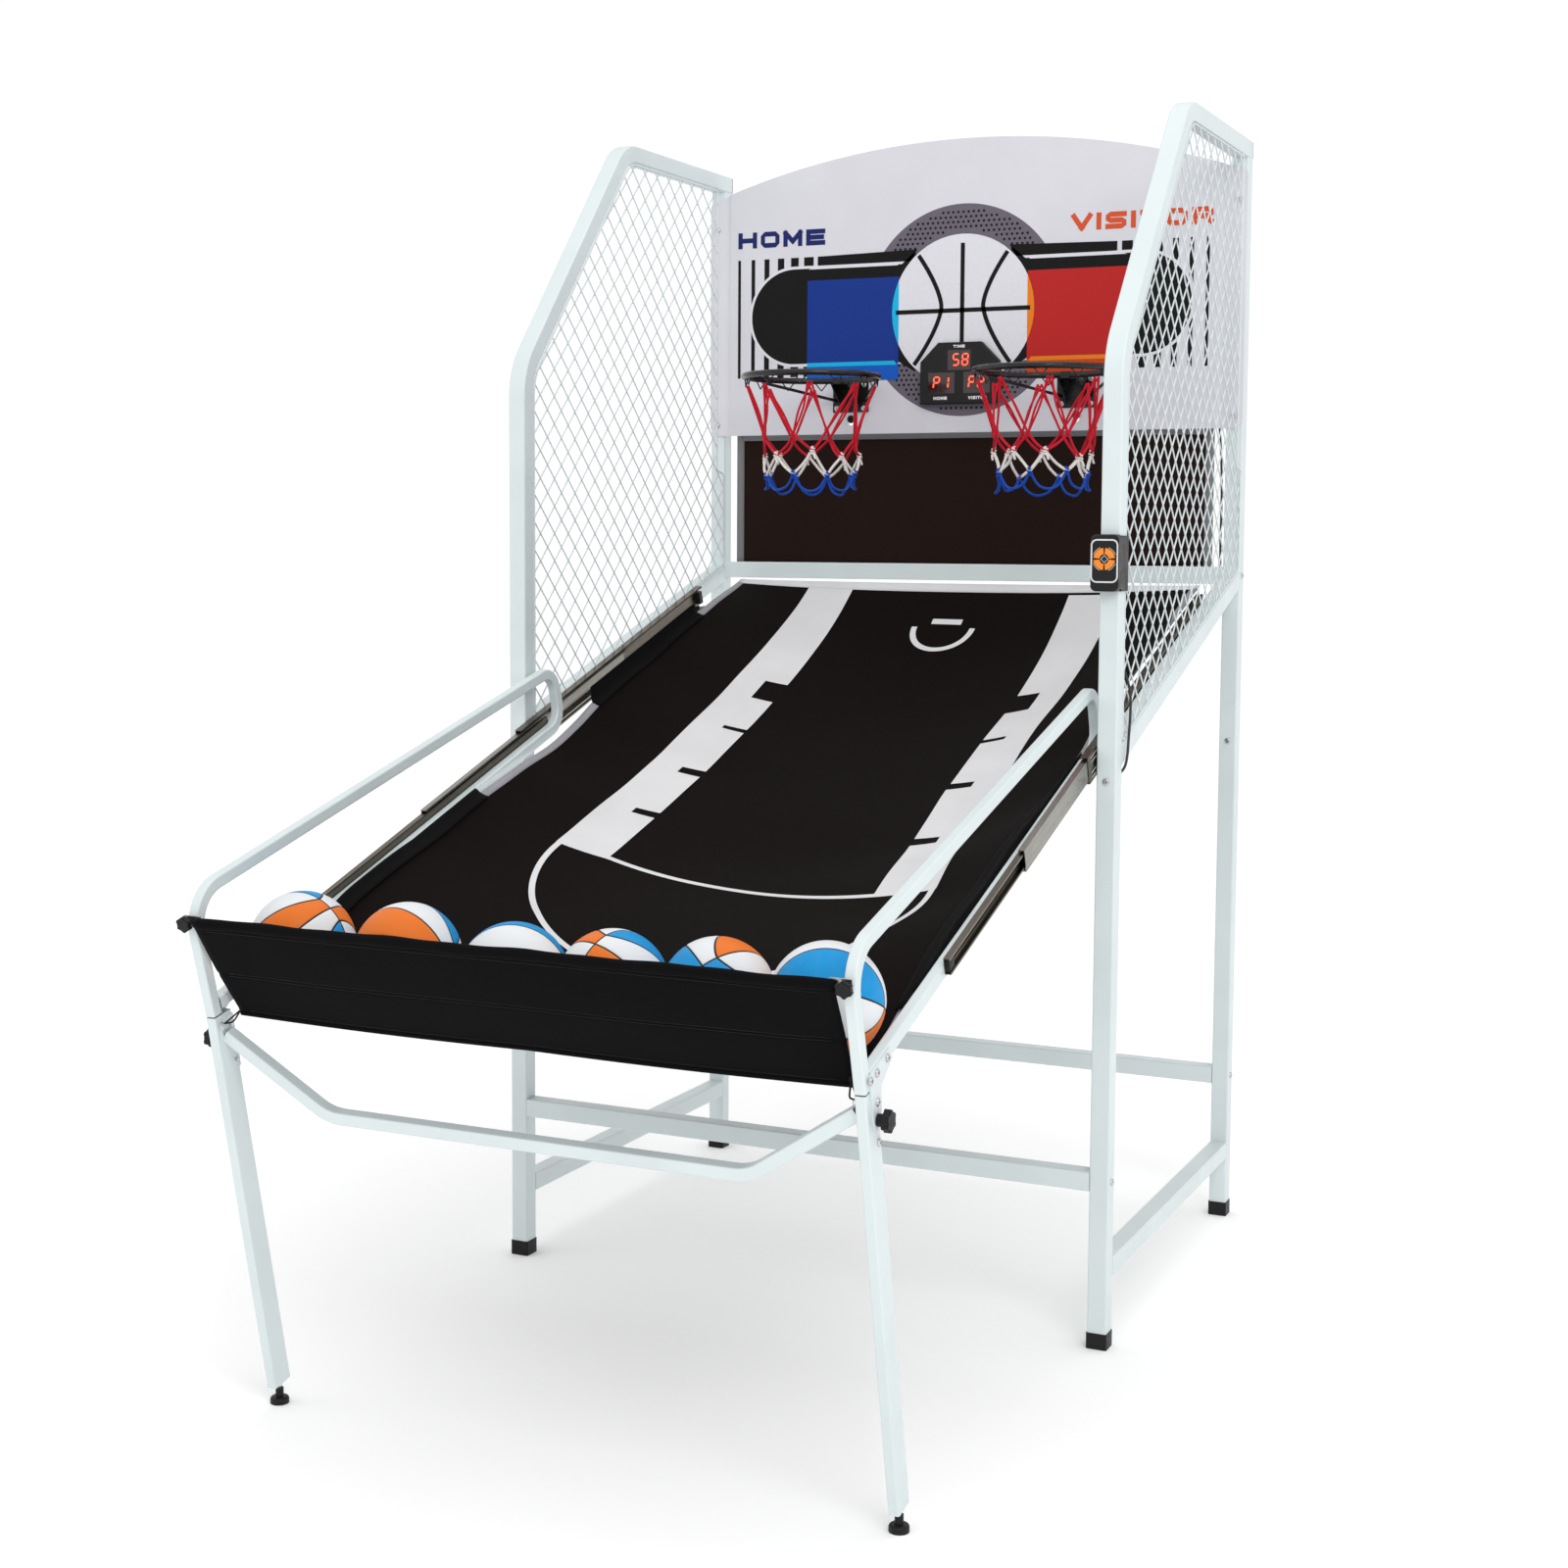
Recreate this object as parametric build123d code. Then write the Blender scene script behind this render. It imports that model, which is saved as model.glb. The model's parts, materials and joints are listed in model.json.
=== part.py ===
from build123d import *
import os
from math import sin, cos, tan, radians, hypot, pi

# Two-player fold-up basketball hoop machine, in millimetres.
# X runs from the left player to the right player, Y from the players to the backboard, Z up.
# The origin lies on the floor under the middle of the machine.

# ---------------------------------------------------------------- driving dimensions
WIDTH = 1105.0  # over the outer faces of the cage
TUBE = 32.0  # square tube of the cage and the base
WALL = 1.5
TUBE_CORNER = 3.0
POST_FRONT = 63.5  # Y of the front faces of the front posts
CAGE_DEPTH = 824.0  # front face of the front posts to rear face of the rear posts
SEAM_Z = 890.0  # where the cage stands on the base posts
CAGE_TOP = 2025.0
CAGE_KNEE_Z = 1581.0  # outer corner where the front upright leans back
CAGE_SHOULDER_Y = 371.0  # outer corner under the cage top, behind the front faces

CAP_HEIGHT = 26.0
CAP_WALL = 1.2
SIDE_RAIL_Z = 128.0  # middle of the low rails that run front to back
CROSS_BAR_Z = 271.0  # middle of the low bars that run across
RAMP_CROSS_Z = 1223.0  # middle of the tube at the top of the ramp

RAMP_DEG = 19.0
RAMP_Z = 941.5  # height of the slide centre line at the front faces of the posts
SLIDE_LENGTH = 735.0
SLIDE_START = -33.0  # along the ramp from the front faces of the posts
TRAVEL = 630.0  # the front frame's run on its slides

FRAME_OUTER = 505.0  # half the width over the front frame
GUARD_WIDTH = 16.0
GUARD_DEPTH = 19.0
RAIL_RISE = -9.0  # front frame rail above the slide centre line
LEG_DEPTH = 38.0
LEG_LEAN = 12.26
POST_LEAN = 15.5

BOARD_BOTTOM = 1497.0
BOARD_CORNER = 1968.0
BOARD_PEAK = 2063.0
HOOP_X = 234.0
HOOP_Z = 1598.0
HOOP_REACH = 585.0  # ring centre behind the front faces of the posts
RING_RADIUS = 129.0
RING_ROD = 6.0
BALL_RADIUS = 76.0
BALL_WALL = 3.0

HALF = WIDTH / 2
INNER = HALF - TUBE
REAR = POST_FRONT + CAGE_DEPTH
REAR_FACE = REAR - TUBE  # front faces of the rear posts
BOLT_RADIUS = 3.0
BOLT_HEAD = 5.6
HEAD_HEIGHT = 3.0
CLEAR = 0.3

SIDES = {"left": -1, "right": 1}


# ---------------------------------------------------------------- helpers
def ramp(along, rise=0.0):
    """Y and Z of a point on the slope, from the front faces of the posts and the slide centre line."""
    slope = radians(RAMP_DEG)
    y = POST_FRONT + along * cos(slope) - rise * sin(slope)
    z = RAMP_Z + along * sin(slope) + rise * cos(slope)
    return y, z


def block(x0, x1, y0, y1, z0, z1):
    """A box between two corners."""
    middle = ((x0 + x1) / 2, (y0 + y1) / 2, (z0 + z1) / 2)
    return Pos(*middle) * Box(abs(x1 - x0), abs(y1 - y0), abs(z1 - z0))


def rod(start, end, radius):
    """A round bar between two points."""
    a, b = Vector(*start), Vector(*end)
    axis = b - a
    return Plane(origin=a, z_dir=axis) * Cylinder(
        radius, axis.length, align=(Align.CENTER, Align.CENTER, Align.MIN)
    )


def hollow_run(path, across, width, depth, wall=WALL, corner=TUBE_CORNER):
    """A rectangular tube along a path; width lies along the direction across."""
    section = Plane(origin=path @ 0, x_dir=across, z_dir=path % 0)
    outer = section * RectangleRounded(width, depth, corner)
    inner = section * RectangleRounded(width - 2 * wall, depth - 2 * wall, max(corner - wall, 0.5))
    return sweep(outer, path=path) - sweep(inner, path=path)


def straight_tube(start, end, across, width=TUBE, depth=TUBE):
    """A straight rectangular tube between two points."""
    return hollow_run(Line(start, end), across, width, depth)


def slab_yz(points, x0, x1):
    """A flat plate whose outline is given in Y and Z, from x0 to x1."""
    outline = Polyline([(x0, y, z) for y, z in points], close=True)
    return extrude(make_face(outline), amount=x1 - x0, dir=(1, 0, 0))


def slab_xz(points, y0, y1):
    """A flat plate whose outline is given in X and Z, from y0 to y1."""
    outline = Polyline([(x, y0, z) for x, z in points], close=True)
    return extrude(make_face(outline), amount=y1 - y0, dir=(0, 1, 0))


def bolt(point, outward, shank):
    """A domed cross-head bolt: its head stands on the point, its shank goes inwards."""
    seat = Plane(origin=point, z_dir=outward)
    head = Cylinder(BOLT_HEAD, HEAD_HEIGHT, align=(Align.CENTER, Align.CENTER, Align.MIN))
    head = fillet(head.faces().sort_by(Axis.Z)[-1].edges(), HEAD_HEIGHT * 0.7)
    low = (Align.CENTER, Align.CENTER, Align.MAX)
    recess = Box(6.4, 1.3, 1.6, align=low) + Box(1.3, 6.4, 1.6, align=low)
    head -= Pos(0, 0, HEAD_HEIGHT) * recess
    return seat * (head + Cylinder(BOLT_RADIUS, shank, align=low))


def bolt_hole(point, outward, depth):
    """The hole that a bolt passes through, a little wider than its shank."""
    low = (Align.CENTER, Align.CENTER, Align.MAX)
    drill = Pos(0, 0, 1) * Cylinder(BOLT_RADIUS + 0.05, depth + 1, align=low)
    return Plane(origin=point, z_dir=outward) * drill


def star_knob(point, outward, radius, height, stem_radius, stem):
    """A six-lobed hand knob: its collar stands on the point, its stem goes inwards."""
    up = (Align.CENTER, Align.CENTER, Align.MIN)
    collar_height = height * 0.48
    star = Circle(radius * 0.84)
    for lobe in range(6):
        turn = radians(60 * lobe)
        star += Pos(radius * 0.74 * cos(turn), radius * 0.74 * sin(turn)) * Circle(radius * 0.26)
    grip = extrude(star, height - collar_height - 1)
    grip += Pos(0, 0, height - collar_height - 1) * extrude(scale(star, 0.93), 1)
    knob = Pos(0, 0, collar_height) * grip + Cylinder(radius * 0.55, collar_height, align=up)
    knob += Cylinder(stem_radius, stem, align=(Align.CENTER, Align.CENTER, Align.MAX))
    return Plane(origin=point, z_dir=outward) * knob


def export(name, *solids):
    """Write one node."""
    shape = solids[0] if len(solids) == 1 else Compound(children=list(solids))
    export_step(shape, f"parts/{name}.step")


# ---------------------------------------------------------------- bolts of the cage and base
def post_centre(side, row):
    """X and Y of a post's middle line; row is front or rear."""
    x = SIDES[side] * (HALF - TUBE / 2)
    y = POST_FRONT + TUBE / 2 if row == "front" else REAR - TUBE / 2
    return x, y


def seam_bolts():
    """On the front faces of the posts, just above the seam: (point, outward) pairs."""
    found = []
    for side in SIDES:
        for row in ("front", "rear"):
            x, y = post_centre(side, row)
            found.append(((x, y - TUBE / 2, SEAM_Z + 22), (0, -1, 0)))
    return found


def bar_bolts():
    """On the outer faces of the posts, at the ends of the cross bars."""
    found = []
    for side, sign in SIDES.items():
        for row in ("front", "rear"):
            y = post_centre(side, row)[1]
            found.append(((sign * HALF, y, CROSS_BAR_Z), (sign, 0, 0)))
    return found


def ramp_tube_bolts():
    """On the outer faces of the rear uprights, at the ends of the ramp cross tube."""
    y = REAR - TUBE / 2
    return [((sign * HALF, y, RAMP_CROSS_Z), (sign, 0, 0)) for sign in SIDES.values()]


BOARD_BOLT_X = 536.0
BOARD_BOLT_Z = (1519.0, 1915.0)
BOARD_SHEET = 4.0
BOARD_STEP = 7.0  # the middle of the board stands this far in front of its side flanges


def board_bolts():
    """Two through each side flange of the backboard."""
    y = REAR_FACE - BOARD_SHEET
    return [((sign * BOARD_BOLT_X, y, z), (0, -1, 0)) for sign in SIDES.values() for z in BOARD_BOLT_Z]


BRACKET_Y = REAR_FACE - BOARD_STEP - BOARD_SHEET  # front face of the board's middle
BRACKET_WIDTH = 76.0
BRACKET_BOTTOM = 1540.0
BRACKET_TOP = 1604.0
BRACKET_PLATE = 3.0


def hoop_bolts():
    """Four through each hoop's mounting plate, two at its foot and two near its top."""
    found = []
    for sign in SIDES.values():
        for dx in (-29, 29):
            for z in (BRACKET_BOTTOM + 8, BRACKET_TOP - 10):
                point = (sign * HOOP_X + dx, BRACKET_Y - BRACKET_PLATE, z)
                found.append((point, (0, -1, 0)))
    return found


def drilled(shape, bolts, depth):
    """A shape with the holes for the bolts that reach it."""
    for point, outward in bolts:
        shape -= bolt_hole(point, outward, depth)
    return shape


# ---------------------------------------------------------------- base
def base_post(side, row):
    x, y = post_centre(side, row)
    post = straight_tube((x, y, CAP_WALL + 2), (x, y, SEAM_Z), (1, 0, 0))
    return drilled(post, bar_bolts(), TUBE + 2)


def post_cap(side, row):
    """A square plastic cup over the foot of a post."""
    x, y = post_centre(side, row)
    size = TUBE + 2 * CAP_WALL
    cup = Box(size, size, CAP_HEIGHT, align=(Align.CENTER, Align.CENTER, Align.MIN))
    cup = fillet(cup.edges().filter_by(Axis.Z), TUBE_CORNER)
    socket = extrude(RectangleRounded(TUBE, TUBE, TUBE_CORNER), CAP_HEIGHT)
    return Pos(x, y, 0) * (cup - Pos(0, 0, CAP_WALL + 2) * socket)


def base_side_rail(side):
    x, y = post_centre(side, "front")
    return straight_tube((x, y + TUBE / 2, SIDE_RAIL_Z), (x, REAR_FACE, SIDE_RAIL_Z), (1, 0, 0))


def base_cross_bar(row):
    y = post_centre("left", row)[1]
    return straight_tube((-INNER, y, CROSS_BAR_Z), (INNER, y, CROSS_BAR_Z), (0, 1, 0))


# ---------------------------------------------------------------- cage
KNEE_BEND = 120.0
SHOULDER_BEND = 72.0


def cage_front_tube(side):
    """The bent tube: front upright, lean back, top run to the rear."""
    x = SIDES[side] * (HALF - TUBE / 2)
    knee_turn = radians(40)
    lean = tan(knee_turn / 2) * TUBE / 2
    shoulder = tan(radians(25)) * TUBE / 2
    y = POST_FRONT + TUBE / 2
    path = FilletPolyline(
        (x, y, SEAM_Z),
        (x, y, CAGE_KNEE_Z - lean),
        (x, POST_FRONT + CAGE_SHOULDER_Y + shoulder, CAGE_TOP - TUBE / 2),
        (x, REAR - 2, CAGE_TOP - TUBE / 2),
        radius=[KNEE_BEND, SHOULDER_BEND],
    )
    tube = hollow_run(path, (1, 0, 0), TUBE, TUBE)
    return drilled(tube, seam_bolts(), 8)


def cage_rear_upright(side):
    x, y = post_centre(side, "rear")
    upright = straight_tube((x, y, SEAM_Z), (x, y, CAGE_TOP - TUBE), (1, 0, 0))
    upright = drilled(upright, seam_bolts() + board_bolts(), 8)
    return drilled(upright, ramp_tube_bolts(), TUBE + 2)


def cage_ramp_tube(side):
    """The slanted tube between the uprights, cut to lie flat against both."""
    x = SIDES[side] * (HALF - TUBE / 2)
    low, high = ramp(-20), ramp(CAGE_DEPTH + 60)
    tube = straight_tube((x, *low), (x, *high), (1, 0, 0))
    return tube & block(-HALF, HALF, POST_FRONT + TUBE, REAR_FACE, 0, CAGE_TOP)


def end_plug(side):
    """Plastic plug in the open rear end of a cage top tube."""
    x = SIDES[side] * (HALF - TUBE / 2)
    z = CAGE_TOP - TUBE / 2
    face = extrude(Plane.XZ * RectangleRounded(TUBE, TUBE, TUBE_CORNER), -2)
    bore = TUBE - 2 * WALL - 0.4
    core = extrude(Plane.XZ * RectangleRounded(bore, bore, TUBE_CORNER), 12)
    return Pos(x, REAR - 2, z) * (face + core)


MESH_WIRE = 1.3
MESH_RIM = 1.6
MESH_PITCH = 34.5  # between neighbouring parallel wires
RIM_GAP = 3.9


def eased(before, corner, after, reach):
    """Points round a corner of an outline, along the bend that starts and ends a reach away from it."""
    ends = []
    for y, z in (before, after):
        share = reach / hypot(y - corner[0], z - corner[1])
        ends.append((corner[0] + (y - corner[0]) * share, corner[1] + (z - corner[1]) * share))
    points = []
    for k in range(5):
        t = k / 4
        weights = ((1 - t) ** 2, 2 * t * (1 - t), t**2)
        trio = (ends[0], corner, ends[1])
        points.append(tuple(sum(w * p[axis] for w, p in zip(weights, trio)) for axis in (0, 1)))
    return points


def mesh_outline(inset):
    """The opening of a cage side in Y and Z, drawn in by an inset, with the jog at its rear edge."""
    front = POST_FRONT + TUBE + inset
    rear = REAR_FACE - inset
    jog = 30.0
    top = CAGE_TOP - TUBE - inset
    slope = tan(radians(RAMP_DEG))
    lift = (TUBE / 2 + inset) / cos(radians(RAMP_DEG))
    lean = tan(radians(20)) * (TUBE + inset)
    back = tan(radians(25)) * (TUBE + inset)
    foot = (front, RAMP_Z + (front - POST_FRONT) * slope + lift)
    shoulder = (POST_FRONT + CAGE_SHOULDER_Y + back, top)
    knee = (front, CAGE_KNEE_Z - lean)
    shoulder_reach = (SHOULDER_BEND - TUBE / 2 - inset) * tan(radians(25))
    knee_reach = (KNEE_BEND - TUBE / 2 - inset) * tan(radians(20))
    return [
        foot,
        (rear, RAMP_Z + (rear - POST_FRONT) * slope + lift),
        (rear, 1419.0),
        (rear - jog, 1427.0),
        (rear - jog, top),
        *eased((rear - jog, top), shoulder, knee, shoulder_reach),
        *eased(shoulder, knee, foot, knee_reach),
    ]


def crossing_span(outline, normal, offset):
    """Where the line of points with normal . point = offset enters and leaves an outline."""
    hits = []
    for (y0, z0), (y1, z1) in zip(outline, outline[1:] + outline[:1]):
        d0 = normal[0] * y0 + normal[1] * z0 - offset
        d1 = normal[0] * y1 + normal[1] * z1 - offset
        if (d0 < 0) != (d1 < 0):
            share = d0 / (d0 - d1)
            hits.append((y0 + share * (y1 - y0), z0 + share * (z1 - z0)))
    return sorted(hits)


def mesh_wires(x, lean, outline):
    """One layer of parallel wires; lean is 1 or -1."""
    half = cos(radians(45))
    normal = (lean * half, half)
    reach = [normal[0] * y + normal[1] * z for y, z in outline]
    first = int(min(reach) / MESH_PITCH) + 1
    last = int(max(reach) / MESH_PITCH)
    wires = []
    for step in range(first, last + 1):
        hits = crossing_span(outline, normal, step * MESH_PITCH)
        if len(hits) == 2 and hypot(hits[1][0] - hits[0][0], hits[1][1] - hits[0][1]) > 15:
            wires.append(rod((x, *hits[0]), (x, *hits[1]), MESH_WIRE))
    return wires


def mesh_panel(side):
    """Wire mesh in the opening of a cage side, flush with the tubes' right-hand faces."""
    face = SIDES[side] * (HALF - TUBE / 2) + TUBE / 2
    outline = mesh_outline(RIM_GAP)
    inside = mesh_outline(RIM_GAP + MESH_RIM + 0.3)
    rim_x = face - MESH_RIM
    rim_path = FilletPolyline([(rim_x, y, z) for y, z in outline], radius=5, close=True)
    section = Plane(origin=rim_path @ 0, z_dir=rim_path % 0) * Circle(MESH_RIM)
    solids = [sweep(section, path=rim_path)]
    solids += mesh_wires(face - MESH_WIRE, 1, inside)
    solids += mesh_wires(face - 3 * MESH_WIRE - 0.05, -1, inside)
    return solids


def ramp_cross_tube():
    y = REAR - TUBE / 2
    return straight_tube((-INNER, y, RAMP_CROSS_Z), (INNER, y, RAMP_CROSS_Z), (0, 1, 0))


# ---------------------------------------------------------------- backboard, scoreboard, hoops
BOARD_HALF = 552.0
FLANGE = 45.0
CABLE_HOLE_Z = 1520.0
CABLE_HOLE_RADIUS = 6.5


def backboard():
    """A sheet whose middle stands forward of its two side flanges, with an arched top."""
    step_y = REAR_FACE - BOARD_STEP
    inner_x = BOARD_HALF - FLANGE
    front = [
        (-BOARD_HALF, REAR_FACE - BOARD_SHEET),
        (-inner_x - 4, REAR_FACE - BOARD_SHEET),
        (-inner_x + 4, step_y - BOARD_SHEET),
        (inner_x - 4, step_y - BOARD_SHEET),
        (inner_x + 4, REAR_FACE - BOARD_SHEET),
        (BOARD_HALF, REAR_FACE - BOARD_SHEET),
    ]
    back = [(x, y + BOARD_SHEET) for x, y in reversed(front)]
    profile = Polyline([(x, y, BOARD_BOTTOM - 1) for x, y in front + back], close=True)
    sheet = extrude(make_face(profile), amount=BOARD_PEAK - BOARD_BOTTOM + 2, dir=(0, 0, 1))
    low, high = BOARD_BOTTOM, BOARD_CORNER
    edges = Polyline((-BOARD_HALF, high), (-BOARD_HALF, low), (BOARD_HALF, low), (BOARD_HALF, high))
    arch = ThreePointArc((BOARD_HALF, high), (0, BOARD_PEAK), (-BOARD_HALF, high))
    outline = make_face(Plane.XZ * (edges + arch))
    outline = fillet(outline.vertices().sort_by(Axis.Z)[:2], 22)
    outline = fillet(outline.vertices().sort_by(Axis.Z)[-2:], 12)
    front_view = extrude(outline, amount=REAR, both=True)
    board = sheet & front_view
    board = drilled(board, board_bolts(), 8)
    board = drilled(board, hoop_bolts(), 12)
    for sign in SIDES.values():
        hole = rod(
            (sign * HOOP_X, BRACKET_Y - 1, CABLE_HOLE_Z),
            (sign * HOOP_X, REAR_FACE, CABLE_HOLE_Z),
            CABLE_HOLE_RADIUS,
        )
        board -= hole
    return board


SCORE_HALF = 81.0
SCORE_BOTTOM = 1552.0
SCORE_TOP = 1671.0
SCORE_CUT = 37.0
SCORE_DEPTH = 16.0
# name: (left, right, bottom, top) of each display window
WINDOWS = {
    "time": (-24.0, 24.0, 1617.0, 1656.0),
    "home": (-64.0, -9.0, 1572.0, 1613.0),
    "visitor": (9.0, 64.0, 1572.0, 1613.0),
}
WINDOW_DEPTH = 2.0


def scoreboard():
    """The display housing, with its upper corners cut off and three window recesses."""
    face_y = BRACKET_Y - SCORE_DEPTH
    outline = [
        (-SCORE_HALF, SCORE_BOTTOM),
        (SCORE_HALF, SCORE_BOTTOM),
        (SCORE_HALF, SCORE_TOP - SCORE_CUT),
        (SCORE_HALF - SCORE_CUT, SCORE_TOP),
        (SCORE_CUT - SCORE_HALF, SCORE_TOP),
        (-SCORE_HALF, SCORE_TOP - SCORE_CUT),
    ]
    housing = slab_xz(outline, face_y, BRACKET_Y)
    housing = chamfer(housing.faces().sort_by(Axis.Y)[0].edges(), 2.0)
    for left, right, bottom, top in WINDOWS.values():
        housing -= block(left, right, face_y - 1, face_y + WINDOW_DEPTH, bottom, top)
    return housing


def score_windows():
    """The three display windows, each a little below the housing's face."""
    face_y = BRACKET_Y - SCORE_DEPTH
    return [
        block(left + 0.1, right - 0.1, face_y + 0.6, face_y + WINDOW_DEPTH, bottom + 0.1, top - 0.1)
        for left, right, bottom, top in WINDOWS.values()
    ]


NET_LOOPS = 12
LOOP_WIRE = 1.2


def around(centre, radius, angle, rise):
    """A point on a level circle round a centre."""
    return centre[0] + radius * cos(angle), centre[1] + radius * sin(angle), centre[2] + rise


def net_loop(angle, centre):
    """A small bent wire under the ring, which a strand of the net hangs on."""
    spread = radians(5.5)
    inner_r = RING_RADIUS - 1.0
    drop = 13.0
    ends = [
        around(centre, inner_r, angle + turn, 1.5 - RING_ROD) for turn in (-spread, spread)
    ]
    tip = around(centre, inner_r, angle, -RING_ROD - drop)
    return rod(ends[0], tip, LOOP_WIRE) + rod(ends[1], tip, LOOP_WIRE) + Pos(*tip) * Sphere(LOOP_WIRE)


RING_GAP_DEG = 4.0  # the bent rod's ends meet inside the saddle on the arm
SADDLE_DEPTH = 9.0


def bent_ring(centre):
    """The ring's rod, bent round with its open joint at the back."""
    section = Plane.XZ * Pos(RING_RADIUS, 0) * Circle(RING_ROD)
    bend = Rot(0, 0, 90 + RING_GAP_DEG / 2) * revolve(section, Axis.Z, 360 - RING_GAP_DEG)
    return Pos(*centre) * bend


def hoop(side):
    """Ring, arm, mounting box, two braces and the net loops, welded into one piece."""
    x = SIDES[side] * HOOP_X
    y = POST_FRONT + HOOP_REACH
    centre = (x, y, HOOP_Z)
    plate_half = BRACKET_WIDTH / 2
    plate_front = BRACKET_Y - BRACKET_PLATE
    plate = block(x - plate_half, x + plate_half, plate_front, BRACKET_Y, BRACKET_BOTTOM, BRACKET_TOP)
    plate = drilled(plate, [b for b in hoop_bolts() if abs(b[0][0] - x) < BRACKET_WIDTH], 12)
    arm_front = y + RING_RADIUS - 2
    arm_low = HOOP_Z - RING_ROD
    arm = block(x - 19, x + 19, arm_front, plate_front, arm_low, arm_low + 4)
    cheek_outline = [
        (plate_front, BRACKET_BOTTOM + 6),
        (plate_front, arm_low + 1),
        (arm_front + 12, arm_low + 1),
    ]
    body = plate + arm
    for sign in (-1, 1):
        edge = x + sign * 19
        body += slab_yz(cheek_outline, edge - 1.5, edge + 1.5)
    ring = bent_ring(centre)
    for k in range(NET_LOOPS):
        ring += net_loop(2 * pi * (k + 0.5) / NET_LOOPS, centre)
    saddle_back = arm_front + SADDLE_DEPTH
    body += block(x - 9, x + 9, arm_front - 4.5, saddle_back, arm_low, HOOP_Z + RING_ROD + 0.5)
    body += ring
    for sign in (-1, 1):
        foot = (x + sign * 29, plate_front, BRACKET_BOTTOM + 23)
        tip = around(centre, RING_RADIUS - 1, radians(-90 + sign * 108), -RING_ROD)
        body += rod(foot, tip, 3.0)
    return body


NET_LENGTH = 222.0
NET_NECK = 74.0


def hoop_net(side):
    """The open-ended net as a thin tapered sleeve."""
    top_z = HOOP_Z - RING_ROD - 15.5
    x = SIDES[side] * HOOP_X
    y = POST_FRONT + HOOP_REACH
    top_r = RING_RADIUS - 5
    points = [(top_r, 0), (NET_NECK, -NET_LENGTH * 0.72), (NET_NECK - 3, -NET_LENGTH)]
    sheet = 2.5
    profile = Polyline(points + [(r - sheet, z) for r, z in reversed(points)], close=True)
    sleeve = revolve(make_face(Plane.XZ * profile), Axis.Z)
    return Pos(x, y, top_z) * sleeve


REAR_NET_HALF = 497.0
REAR_NET_TOP = 1503.0


def rear_net():
    """The cloth that closes the gap between the backboard and the top of the ramp."""
    bottom = RAMP_CROSS_Z + TUBE / 2 + 0.5
    y = REAR_FACE + 10
    return block(-REAR_NET_HALF, REAR_NET_HALF, y, y + 2.5, bottom, REAR_NET_TOP)


# ---------------------------------------------------------------- drawer slides
RAIL_FACE = FRAME_OUTER  # the inner members are fixed to the front frame's outer faces
SPACER = 2.5
OUTER_HALF = 22.5
MIDDLE_HALF = 17.0
INNER_HALF = 12.0
SHEET = 1.2


def channel(side, start, half_height, x_back, depth, open_inwards, trim=0.0):
    """A slide member: a channel with rolled lips, along the ramp from start."""
    sign = SIDES[side]
    back, mouth = sign * x_back, sign * (x_back - depth if open_inwards else x_back + depth)
    step = SHEET * (1 if mouth > back else -1)

    def bar(x0, x1, n0, n1):
        corners = [
            ramp(start, n0),
            ramp(start + SLIDE_LENGTH - trim, n0),
            ramp(start + SLIDE_LENGTH - trim, n1),
            ramp(start, n1),
        ]
        return slab_yz(corners, min(x0, x1), max(x0, x1))

    web = bar(back, back + step, -half_height, half_height)
    for end in (-1, 1):
        inner_face = end * (half_height - SHEET)
        web += bar(back, mouth, end * half_height, inner_face)
        web += bar(mouth - step, mouth, end * half_height, end * (half_height - 3.2))
    return web


def slide_outer(side):
    """Fixed member with its two mounting straps to the cage."""
    sign = SIDES[side]
    member = channel(side, SLIDE_START, OUTER_HALF, INNER - SPACER, 12.6, True)
    for along in (70, SLIDE_LENGTH - 130):
        corners = [ramp(SLIDE_START + along + a, n) for a, n in ((-14, -15), (14, -15), (14, 15), (-14, 15))]
        member += slab_yz(corners, *sorted((sign * INNER, sign * (INNER - SPACER))))
    return member


def slide_middle(side):
    start = SLIDE_START - TRAVEL / 2
    x_back = INNER - SPACER - SHEET - CLEAR
    return channel(side, start, MIDDLE_HALF, x_back, 10.0, True, trim=16)


def slide_inner(side):
    start = SLIDE_START - TRAVEL
    return channel(side, start, INNER_HALF, RAIL_FACE, 9.4, False, trim=16)


def slide_bumper(side):
    """Rubber stop at the upper end of the fixed member."""
    sign = SIDES[side]
    start = SLIDE_START + SLIDE_LENGTH - 12
    corners = [ramp(start, -12), ramp(start + 12, -12), ramp(start + 12, 12), ramp(start, 12)]
    x_back = INNER - SPACER - SHEET
    return slab_yz(corners, *sorted((sign * x_back, sign * (x_back - 10))))


# ---------------------------------------------------------------- front frame
POST_UP = (-sin(radians(POST_LEAN)), cos(radians(POST_LEAN)))
POST_BACK = (cos(radians(POST_LEAN)), sin(radians(POST_LEAN)))
SEAM_EDGE = (POST_FRONT - 893.6, 611.6)  # front edge of the guard post at the leg seam
SEAM_GAP = 2.2
HANDRAIL_DEG = 15.2
HAIRPIN_Y = POST_FRONT + 50.0  # corner of the handrail's rear turn
HANDRAIL_RISE = 1041.0  # handrail centre line at the front faces of the posts
GUARD_X = FRAME_OUTER - GUARD_WIDTH / 2


def on_post(up, back):
    """Y and Z on the guard post, from its front edge at the seam."""
    y = SEAM_EDGE[0] + up * POST_UP[0] + back * POST_BACK[0]
    z = SEAM_EDGE[1] + up * POST_UP[1] + back * POST_BACK[1]
    return y, z


def handrail_z(y):
    return HANDRAIL_RISE + (y - POST_FRONT) * tan(radians(HANDRAIL_DEG))


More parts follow.
